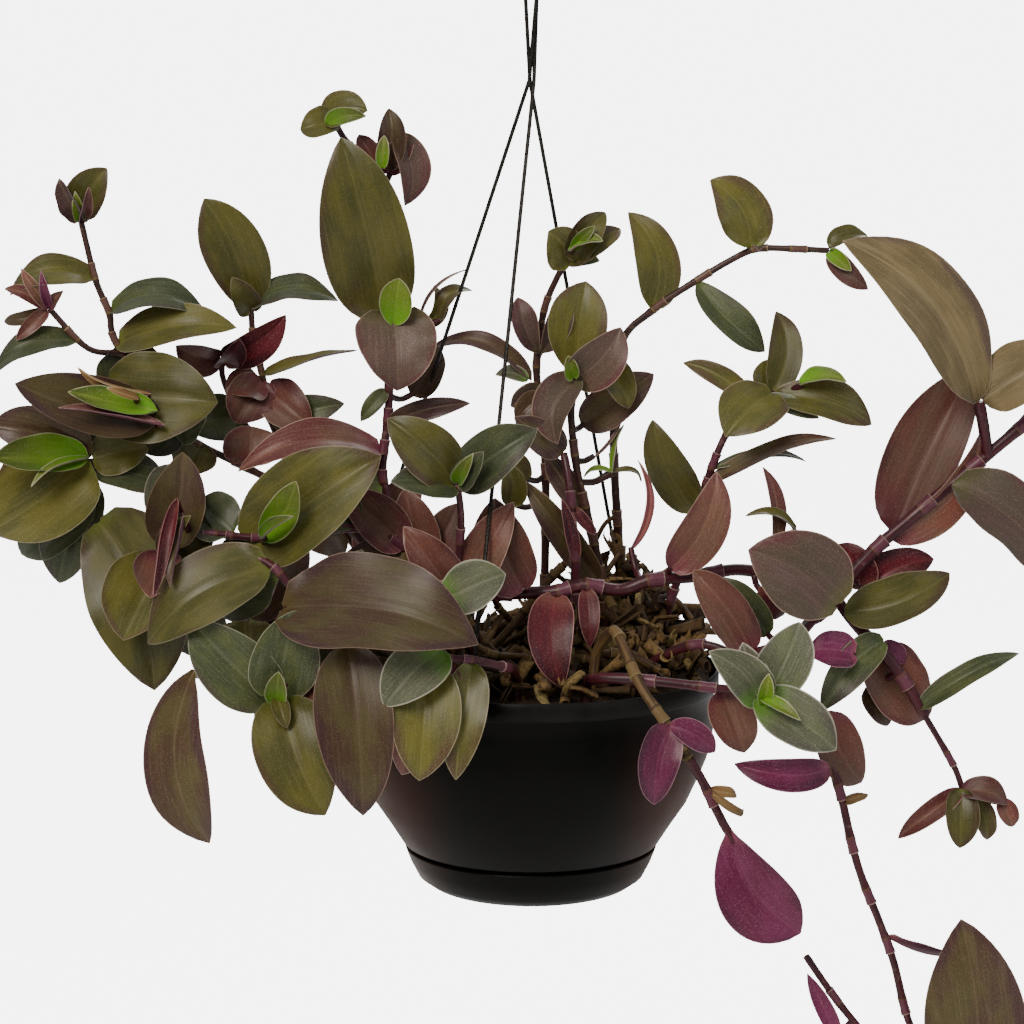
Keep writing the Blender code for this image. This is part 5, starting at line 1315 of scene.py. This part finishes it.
@dataclass
class StemMaker:
    """Makes jointed stems: an internode, a joint and the sheath above it, over and over.

    In millimetres: sheath is a sheath's length, spacing the longest internode, closest the
    shortest, ring_gap the gap between an internode's rings, and clear a height above a joint at
    which nothing of its colour shows.
    """

    sides: int = 14
    sheath: float = 9.0
    spacing: float = 34.0
    closest: float = 7.0
    ring_gap: float = 3.5
    clear: float = 9.0

    def joints(self, route: Route, ats: list) -> list:
        """Return the distances of a stem's joints.

        Args:
            route: the stem's centre line.
            ats: where its leaves sit, as counts of the route's own points.

        Returns:
            Distances along the line, in order.
        """
        found = []
        for distance in sorted(float(route.length[route.index(at)]) for at in ats):
            if not found or distance - found[-1] > self.closest:
                found.append(distance)
        # A stem has no joint in the soil, and a side stem none near its foot.
        start = 30.0 if route.rooted else 4.0
        bounds = [start, *found, float(route.length[-1])]
        for low, high in zip(bounds, bounds[1:]):
            extra = int((high - low) / self.spacing)
            found.extend(low + (high - low) * (k + 1) / (extra + 1) for k in range(extra))
        return sorted(found)

    def stations(self, route: Route, joints: list, first: float, last: float) -> list:
        """Return the rings of a stem.

        Args:
            route: the stem's centre line.
            joints: the distances of its joints.
            first: its radius at the foot.
            last: its radius at the end.

        Returns:
            (distance, radius, distance above the last joint, sheath share, lip) for each ring.
        """
        total = float(route.length[-1])
        rings = []
        bounds = [0.0, *joints, total]
        for number, (low, high) in enumerate(zip(bounds, bounds[1:])):
            span = high - low
            if span < 0.5:
                continue
            sheath = min(self.sheath, span * 0.45) if number else 0.0
            marks = [(low, 1.1, 0.0, 0.0)]
            if sheath:
                marks += [(low + 0.8, 1.16, 1.0, 0.0), (low + sheath * 0.5, 1.1, 1.0, 0.0),
                          (low + sheath - 0.7, 1.22, 1.0, 0.0), (low + sheath - 0.1, 1.28, 1.0, 1.0),
                          (low + sheath + 0.15, 0.96, 0.0, 0.0)]
            free = span - sheath
            inner = int(free / self.ring_gap)
            for k in range(1, inner + 1):
                share = k / (inner + 1)
                marks.append((low + sheath + 0.3 + (free - 0.6) * share, 0.94 + 0.14 * share**6, 0.0, 0.0))
            for distance, swell, sleeve, lip in marks:
                radius = (first + (last - first) * distance / total) * swell
                rings.append((distance, radius, distance - low if number else self.clear, sleeve, lip))
        # The blunt end.
        rings.append((total - 0.2, last * 0.9, self.clear, 0.0, 0.0))
        rings.append((total + 0.6, last * 0.3, self.clear, 0.0, 0.0))
        return rings

    def grow(self, patch: Patch, route: Route, ats: list, radii: tuple, seed: int,
             slot: int = 0) -> None:
        """Put one stem into a patch.

        Args:
            patch: the mesh that takes the stem.
            route: the stem's centre line.
            ats: where its leaves sit.
            radii: its radius at the foot and at the end.
            seed: picks its own tone.
            slot: its material slot.
        """
        tone = random.Random(seed).random()
        rings = self.stations(route, self.joints(route, ats), *radii)
        across = Vector((1, 0, 0))
        points, stem, joint = [], [], []
        for distance, radius, above, sleeve, lip in rings:
            centre = route.read(distance)
            along = (route.read(distance + 1.5) - route.read(distance - 1.5)).normalized()
            across = (across - along * across.dot(along)).normalized()
            upward = along.cross(across)
            for step in range(self.sides):
                angle = 2 * math.pi * step / self.sides
                offset = across * math.cos(angle) + upward * math.sin(angle)
                bump = 1 + 0.05 * noise.noise((centre + offset * radius) * 0.35)
                points.append(centre + offset * (radius * bump))
                stem.append((math.cos(angle) * radius, math.sin(angle) * radius, distance))
                joint.append((above, sleeve, tone + lip * 2))
        faces = []
        for ring in range(len(rings) - 1):
            for step in range(self.sides):
                after = (step + 1) % self.sides
                low, high = ring * self.sides, (ring + 1) * self.sides
                faces.append((low + step, low + after, high + after, high + step))
        # Quads about a middle point close each end.
        for first in (0, (len(rings) - 1) * self.sides):
            centre = len(points)
            points.append(sum((points[first + k] for k in range(self.sides)), Vector()) / self.sides)
            stem.append(stem[first])
            joint.append(joint[first])
            for step in range(0, self.sides, 2):
                a, b, c = (first + (step + k) % self.sides for k in range(3))
                faces.append((a, centre, c, b) if first == 0 else (a, b, c, centre))
        scale = np.array([MM, 1.0, 1.0])
        patch.add(
            np.array(points) * MM, np.array(faces), np.full(len(faces), slot),
            stem=np.array(stem) * MM, joint=np.array(joint) * scale,
        )


@dataclass
class Plant:
    """All shoots with their leaves.

    faces and backs hold the material of each Skin, and barks of each Bark. slim is the radius of a
    thin route and side that of any other side stem, as shares of the main stem's end. A leaf nearer
    its stem than no_twig needs no twig, and twig_radii are a twig's two radii, in millimetres.
    """

    blades: BladeMaker
    stems: StemMaker
    faces: dict
    backs: dict
    barks: dict
    side: float = 0.9
    slim: float = 0.5
    no_twig: float = 7.0
    twig_radii: tuple = (1.9, 1.7)

    def skins(self, used: list) -> list:
        """Return the materials of the kinds of leaf.

        Args:
            used: the skins.

        Returns:
            Two materials for each skin, its face's and then its back's.
        """
        found = []
        for skin in used:
            found += [self.faces[skin], self.backs.get(BACK_OF.get(skin, skin), self.faces[skin])]
        return found

    def start(self, shoot: Shoot, routes: list, leaf: Leaf) -> Vector:
        """Return where a leaf leaves its stem, in millimetres.

        Args:
            shoot: the leaf's shoot.
            routes: the shoot's centre lines.
            leaf: the leaf.

        Returns:
            The place on the stem's side that faces the leaf's tip.
        """
        if leaf.base:
            return Vector(leaf.base)
        place, along = routes[leaf.stem].place(leaf.at)
        outward = Vector(leaf.tip) - place
        sideways = outward - along * outward.dot(along)
        if sideways.length < 0.3 * outward.length:
            return place
        return place + sideways.normalized() * shoot.radii[1] * 0.6

    def add_twig(self, bark: Patch, routes: list, leaf: Leaf, seed: int) -> None:
        """Put a short twig into a patch, from the nearest stem to a leaf's own base.

        Args:
            bark: the mesh that takes the twig.
            routes: the shoot's centre lines.
            leaf: a leaf with a base.
            seed: picks the twig's tone.
        """
        base = Vector(leaf.base)
        near = min((point for route in routes for point in route.line[route.steps:]),
                   key=lambda point: (point - base).length)
        if (near - base).length < self.no_twig:
            return
        inside = base + (Vector(leaf.tip) - base).normalized() * 1.5
        middle = near.lerp(base, 0.5) + Vector((0, 3, -0.12 * (near - base).length))
        twig = Route((tuple(near), tuple(middle), tuple(inside)))
        self.stems.grow(bark, twig, [], self.twig_radii, seed)

    def build(self, shoot: Shoot, seed: int) -> None:
        """Build one shoot: a piece of stems, a piece of small leaves, and each large leaf.

        Args:
            shoot: the shoot.
            seed: picks the small irregularities of its leaves and stems.
        """
        routes = [Route(points) for points in shoot.routes]
        bark = Patch()
        first, last = shoot.radii
        for number, route in enumerate(routes):
            ats = [leaf.at for leaf in shoot.leaves if leaf.stem == number and not leaf.base]
            foot = first if number == 0 else self.side * last
            if number in shoot.slim:
                foot = self.slim * last
            self.stems.grow(bark, route, ats, (foot, min(foot, self.side * last)), seed + number,
                            int(number in shoot.young))
        for number, leaf in enumerate(leaf for leaf in shoot.leaves if leaf.base):
            self.add_twig(bark, routes, leaf, seed + number)
        barks = [self.barks[shoot.bark], self.barks[Bark.STEM]]
        dress(bark.finish(f"{shoot.name}_stem", barks), [shoot.name])
        small = [leaf for leaf in shoot.leaves if not leaf.name]
        used = sorted({leaf.skin for leaf in small}, key=lambda skin: skin.value)
        foliage = Patch()
        for number, leaf in enumerate(small):
            where = self.start(shoot, routes, leaf)
            self.blades.bend(foliage, leaf, where, seed * 50 + number, used.index(leaf.skin) * 2)
        if small:
            dress(foliage.finish(f"{shoot.name}_leaves", self.skins(used)),
                  [shoot.name])
        for number, leaf in enumerate(leaf for leaf in shoot.leaves if leaf.name):
            single = Patch()
            self.blades.bend(single, leaf, self.start(shoot, routes, leaf), seed * 70 + number)
            dress(single.finish(f"{leaf.name}_blade", self.skins([leaf.skin])),
                  [leaf.name])


@dataclass
class Pot:
    """The moulded pot and its drip saucer, turned from their sections, in millimetres."""

    steps: int = 128
    rim: float = 102.0
    top: float = 120.0

    def turn(self, name: str, section: list) -> bpy.types.Object:
        """Spin a section about the vertical axis.

        Args:
            name: the piece's name.
            section: (radius, height) of the section's points, open at the axis.

        Returns:
            The turned piece.
        """
        deselect()
        bpy.ops.mesh.primitive_plane_add(size=1, location=(0, 0, 0))
        piece = bpy.context.object
        piece.name = piece.data.name = name
        mesh = piece.data
        mesh.clear_geometry()
        mesh.from_pydata([(r * MM, 0, z * MM) for r, z in section],
                         [(k, k + 1) for k in range(len(section) - 1)], [])
        bpy.ops.object.mode_set(mode="EDIT")
        bpy.ops.mesh.select_all(action="SELECT")
        bpy.ops.mesh.spin(steps=self.steps, angle=2 * math.pi, center=(0, 0, 0), axis=(0, 0, 1))
        bpy.ops.mesh.select_all(action="SELECT")
        bpy.ops.mesh.remove_doubles(threshold=0.00001)
        bpy.ops.mesh.normals_make_consistent(inside=False)
        bpy.ops.object.mode_set(mode="OBJECT")
        bpy.ops.object.shade_smooth_by_angle(angle=math.radians(40))
        return piece

    def build(self, plastic: bpy.types.Material) -> None:
        """Build the pot and the saucer.

        Args:
            plastic: the material of both.
        """
        rim, top = self.rim, self.top
        shell = [
            # Inside, from the floor's middle up to the rim.
            (0, 4.3), (30, 4.3), (53.6, 4.4), (56, 7.0), (64.2, 22.6), (67.8, 24.4), (76.0, 37), (84.6, 51),
            (90.8, 64), (95.6, 77), (97.3, 86.2), (97.7, 108), (98.6, 110), (100.1, 111.2), (100.3, 113),
            (100.3, top - 0.5), (100.7, top),
            # The proud rim band.
            (rim - 0.5, top), (rim, top - 0.6), (rim, top - 9.0), (rim - 0.4, top - 9.6),
            (99.8, top - 10.0), (99.4, top - 10.6),
            # Outside, down the bowed wall, the saucer's step and the base.
            (99.2, 100), (99.0, 86), (98.5, 81), (97.6, 77), (95.4, 70.5), (92.4, 63), (85.6, 48),
            (77.6, 36), (70.4, 24.6), (69.4, 23.6), (66.4, 22.4), (65.6, 21.2), (59.5, 9), (56.2, 3.8),
            (55.0, 2.7), (53, 2.6), (0, 2.6),
        ]
        dish = [
            # Inside, up to the edge, and down the outside to the foot.
            (0, 2.0), (54.8, 2.0), (56.5, 2.5), (60.2, 6.6), (64.4, 14.2), (66.5, 20.4), (67.0, 21.4),
            (68.4, 21.4), (68.8, 20.8), (66.2, 13.8), (62.0, 5.6), (56.5, 1.6), (52.0, 0.2), (50, 0), (0, 0),
        ]
        for name, section, node in (("pot_shell", shell, "pot"), ("saucer_dish", dish, "drip_saucer")):
            piece = self.turn(name, section)
            piece.data.materials.append(plastic)
            dress(piece, [node])


@dataclass
class Soil:
    """The root ball's lumpy top, with the litter heaped on it, in millimetres.

    heap is the middle of the litter's heap, and wall how near the pot's wall the litter comes.
    """

    edge: float = 97.0
    top: float = 116.0
    curls: int = 520
    sticks: int = 40
    heap: tuple = (48.0, 10.0)
    wall: float = 88.0

    def height(self, x: float, y: float) -> float:
        """Return the litter's height over the soil.

        Args:
            x: the place, from left to right.
            y: the place, from front to back.

        Returns:
            The height.
        """
        away = math.hypot((x - self.heap[0]) / 56, (y - self.heap[1]) / 60)
        wide = 60 * math.exp(-(away**2) * 1.7) + 10
        return wide * (0.85 + 0.5 * noise.noise(Vector((x, y, 0)) * 0.06))

    def build_ball(self, finish: bpy.types.Material) -> None:
        """Build the root ball, from a sphere: a crumbled top over a cake that fits the pot.

        Args:
            finish: its material.
        """
        deselect()
        bpy.ops.mesh.primitive_uv_sphere_add(segments=96, ring_count=60, radius=self.edge * MM,
                                             location=(0, 0, self.top * MM))
        ball = bpy.context.object
        ball.name = ball.data.name = "peat_root_ball"
        bpy.ops.object.transform_apply(location=True)
        for vertex in ball.data.vertices:
            x, y, z = (value / MM for value in vertex.co)
            rise = z - self.top
            if rise > 0:
                radius = math.hypot(x, y)
                grow = min(1.0, rise / 8)
                lump = 3.2 * noise.noise(Vector((x, y, 0)) * 0.08)
                lump += 1.6 * noise.noise(Vector((x, y, 9)) * 0.3)
                dome = 3 * (1 - (radius / self.edge) ** 2) + 0.3 * (self.height(x, y) - 8)
                vertex.co.z = (self.top - 3 + grow * (dome + lump)) * MM
            else:
                depth = max(rise * 1.12, 7 - self.top)
                wall = 53 + (self.edge - 55) * min(1.0, (self.top + depth) / 82) ** 0.8
                radius = max(math.hypot(x, y), 0.001)
                squeeze = min(1.0, wall / radius)
                vertex.co = (x * squeeze * MM, y * squeeze * MM, (self.top - 3 + depth) * MM)
        bpy.ops.object.shade_smooth()
        ball.data.materials.append(finish)
        dress(ball, ["potting_soil"])

    def curl(self) -> tuple:
        """Model one dry sheath, a tube that has split open.

        Returns:
            Its points and its faces.
        """
        deselect()
        bpy.ops.mesh.primitive_cylinder_add(vertices=9, radius=1.0, depth=2.0, end_fill_type="NOTHING")
        sheath = bpy.context.object
        bpy.ops.object.mode_set(mode="EDIT")
        bpy.ops.mesh.select_all(action="SELECT")
        bpy.ops.mesh.subdivide(number_cuts=1)
        bpy.ops.object.mode_set(mode="OBJECT")
        points = np.array([vertex.co for vertex in sheath.data.vertices])
        faces = [list(face.vertices) for face in sheath.data.polygons]
        middle = [points[face].mean(0) for face in faces]
        kept = np.array([face for face, at in zip(faces, middle) if not (at[0] > 0.6 and at[1] > -0.5)])
        bpy.data.objects.remove(sheath, do_unlink=True)
        return points, kept

    def build_litter(self, finish: bpy.types.Material) -> None:
        """Heap dry sheaths on the soil, most of them on the heap.

        Args:
            finish: their material.
        """
        rng = random.Random(11)
        points, faces = self.curl()
        patch = Patch()
        for _ in range(self.curls):
            spread = rng.random() ** 0.5
            angle = rng.uniform(0, 2 * math.pi)
            if rng.random() < 0.6:
                x = self.heap[0] + 52 * spread * math.cos(angle)
                y = self.heap[1] + 60 * spread * math.sin(angle)
            else:
                x, y = self.wall * spread * math.cos(angle), self.wall * spread * math.sin(angle)
            if math.hypot(x, y) > 92:
                continue
            z = self.top + rng.uniform(0.0, 1.0) * self.height(x, y) + rng.uniform(1, 6)
            size = Vector((rng.uniform(1.6, 4.2), rng.uniform(1.2, 3), rng.uniform(5, 14)))
            turn = Matrix.Rotation(rng.uniform(0, 6.28), 3, "Z")
            turn = turn @ Matrix.Rotation(rng.gauss(1.35, 0.5), 3, "X")
            turn = turn @ Matrix.Rotation(rng.uniform(0, 6.28), 3, "Z")
            bend = rng.uniform(-0.9, 0.9)
            ragged = rng.uniform(0, 50)
            scrap = []
            for wide, deep, tall in points:
                flare = 1 + 0.35 * tall * rng.uniform(0.7, 1.0)
                flare += 0.25 * noise.noise(Vector((wide, deep, tall + ragged)))
                bowed = wide * size.x * flare + bend * size.z * tall * tall
                local = Vector((bowed, deep * size.y * flare, tall * size.z))
                scrap.append(turn @ local + Vector((x, y, z)))
            tone = np.full(len(points), rng.random() ** 1.3)
            patch.add(np.array(scrap) * MM, faces, np.zeros(len(faces), int), tone=tone)
        litter = patch.finish("dry_sheath_litter", [finish], angle=50)
        deselect()
        bpy.context.view_layer.objects.active = litter
        thick = litter.modifiers.new("Paper", "SOLIDIFY")
        thick.thickness = 0.0005
        bpy.ops.object.modifier_apply(modifier=thick.name)
        dress(litter)

    def build_sticks(self, stems: StemMaker, finish: bpy.types.Material) -> None:
        """Lay old bare stems over the soil, some of them leaning out of the heap.

        Args:
            stems: what makes them.
            finish: their material.
        """
        rng = random.Random(5)
        patch = Patch()
        for number in range(self.sticks):
            angle = rng.uniform(0, 2 * math.pi)
            spread = rng.uniform(0.1, 0.95)
            x, y = 76 * spread * math.cos(angle) + 10, 76 * spread * math.sin(angle)
            heading = rng.uniform(0, 2 * math.pi)
            length = rng.uniform(24, 58)
            rise = rng.choice((0.0, 0.0, 0.1, 0.35, 0.8))
            points = []
            for k in range(4):
                step = (k / 3 - 0.5) * length
                right = x + math.cos(heading) * step + rng.uniform(-4, 4)
                back = y + math.sin(heading) * step + rng.uniform(-4, 4)
                pull = min(1.0, self.wall / max(math.hypot(right, back), 1))
                right, back = right * pull, back * pull
                lift = 3 + 0.8 * self.height(right, back) + rise * (step + length / 2)
                points.append((right, back, self.top + lift + rng.uniform(0, 4)))
            radius = rng.uniform(1.5, 2.7)
            stems.grow(patch, Route(tuple(points)), [], (radius, radius * 0.9), number)
        dress(patch.finish("bare_old_stems", [finish]))


@dataclass
class Hanger:
    """The hanger's own nodes, which keep their shape."""

    plastic: bpy.types.Material
    wire: bpy.types.Material

    def build(self) -> None:
        """Give the clips, wires and hook their finishes."""
        for name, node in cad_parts.items():
            if name.startswith("hanger_"):
                made = self.plastic if "clip" in name else self.wire
                for slot in node.material_slots:
                    slot.material = made
                LOG.info("%s: finish only", name)


@dataclass
class Studio:
    """The pale backdrop, the soft lights and the camera.

    floor is the floor's height, white the backdrop's brightness to the eye, and above and below
    the room's brightness over and under the plant. eye is where the camera stands, lens its focal
    length in millimetres and tilt its angle from straight down, in degrees.
    """

    floor: float = -0.42
    white: float = 6.0
    above: float = 0.55
    below: float = 0.04
    eye: tuple = (-0.0103, -1.283, 0.375)
    lens: float = 84.4
    tilt: float = 82.4

    def light(self, name: str, place: tuple, size: float, power: float, colour: str) -> None:
        """Add one soft area light that faces the plant.

        Args:
            name: its name.
            place: where it stands, in metres.
            size: its diameter, in metres.
            power: its power, in watts.
            colour: its colour, as sRGB hex.
        """
        lamp = bpy.data.lights.new(name, "AREA")
        lamp.shape = "DISK"
        lamp.size = size
        lamp.energy = power
        lamp.color = linear(colour)[:3]
        holder = bpy.data.objects.new(name, lamp)
        holder.location = place
        aim = Vector((0, 0, 0.2)) - Vector(place)
        holder.rotation_euler = aim.to_track_quat("-Z", "Y").to_euler()
        bpy.context.scene.collection.objects.link(holder)

    def build(self, board: bpy.types.Material) -> None:
        """Build the floor, the room and the lights.

        Args:
            board: the floor's material.
        """
        deselect()
        bpy.ops.mesh.primitive_circle_add(vertices=96, radius=9, fill_type="NGON",
                                          location=(0, 0, self.floor))
        floor = bpy.context.object
        floor.name = floor.data.name = "pale_floor"
        bpy.ops.object.transform_apply(location=True)
        floor.data.materials.append(board)
        world = bpy.context.scene.world or bpy.data.worlds.new("soft_room")
        bpy.context.scene.world = world
        world.use_nodes = True
        tree = world.node_tree
        where = add_node(tree, "TexCoord").outputs["Generated"]
        height = add_node(tree, "SeparateXYZ", {0: where}).outputs["Z"]
        room = add_node(tree, "MapRange", {
            "Value": height, "From Min": -0.35, "From Max": 0.8, "To Min": self.below, "To Max": self.above,
        }, interpolation_type="SMOOTHSTEP").outputs["Result"]
        seen = add_node(tree, "LightPath").outputs["Is Camera Ray"]
        strength = add_node(tree, "Mix", {0: seen, 2: room, 3: self.white}).outputs[0]
        plug(tree, tree.nodes["Background"], {"Color": linear("FFFFFF"), "Strength": strength})
        self.light("key_light", (-0.9, -1.75, 1.6), 1.2, 43, "FFF6EA")
        self.light("fill_light", (1.8, -1.2, 1.0), 1.6, 7, "EEF3FF")
        self.light("back_light", (0.6, 1.9, 1.7), 1.5, 22, "FFFFFF")

    def camera(self) -> None:
        """Stand the camera a little above the plant's middle, tilted down."""
        lens = bpy.data.cameras.new("view")
        lens.lens = self.lens
        lens.sensor_width = 36
        lens.clip_end = 60
        view = bpy.data.objects.new("view", lens)
        view.location = self.eye
        view.rotation_euler = (math.radians(self.tilt), 0, 0)
        bpy.context.scene.collection.objects.link(view)
        bpy.context.scene.camera = view


def main() -> None:
    """Build the whole plant and its studio, in order."""
    logging.basicConfig(level=logging.INFO, format="%(message)s")
    studio = Studio()
    studio.camera()
    studio.build(BackdropFinish("painted_board").build())
    black = PlasticFinish("moulded_black_plastic", "030302", "060605", 0.36, 0.15).build()
    Pot().build(black)
    wire = WireFinish("dark_drawn_wire", "26241F").build()
    Hanger(PlasticFinish("moulded_black_clip", "050505", "0A0A0A", 0.42, 0.3).build(), wire).build()
    barks = {bark: finish.build() for bark, finish in STEM_FINISHES.items()}
    faces = {skin: finish.build() for skin, finish in LEAF_FACES.items()}
    backs = {skin: finish.build() for skin, finish in LEAF_BACKS.items()}
    stems = StemMaker()
    soil = Soil()
    soil.build_ball(SoilFinish("dry_peat").build())
    soil.build_litter(LitterFinish("withered_sheath").build())
    soil.build_sticks(stems, barks[Bark.OLD_STEM])
    plant = Plant(BladeMaker(BladeTemplate()), stems, faces, backs, barks)
    for number, shoot in enumerate(SHOOTS):
        plant.build(shoot, number + 1)


if __name__ == "__main__":
    main()
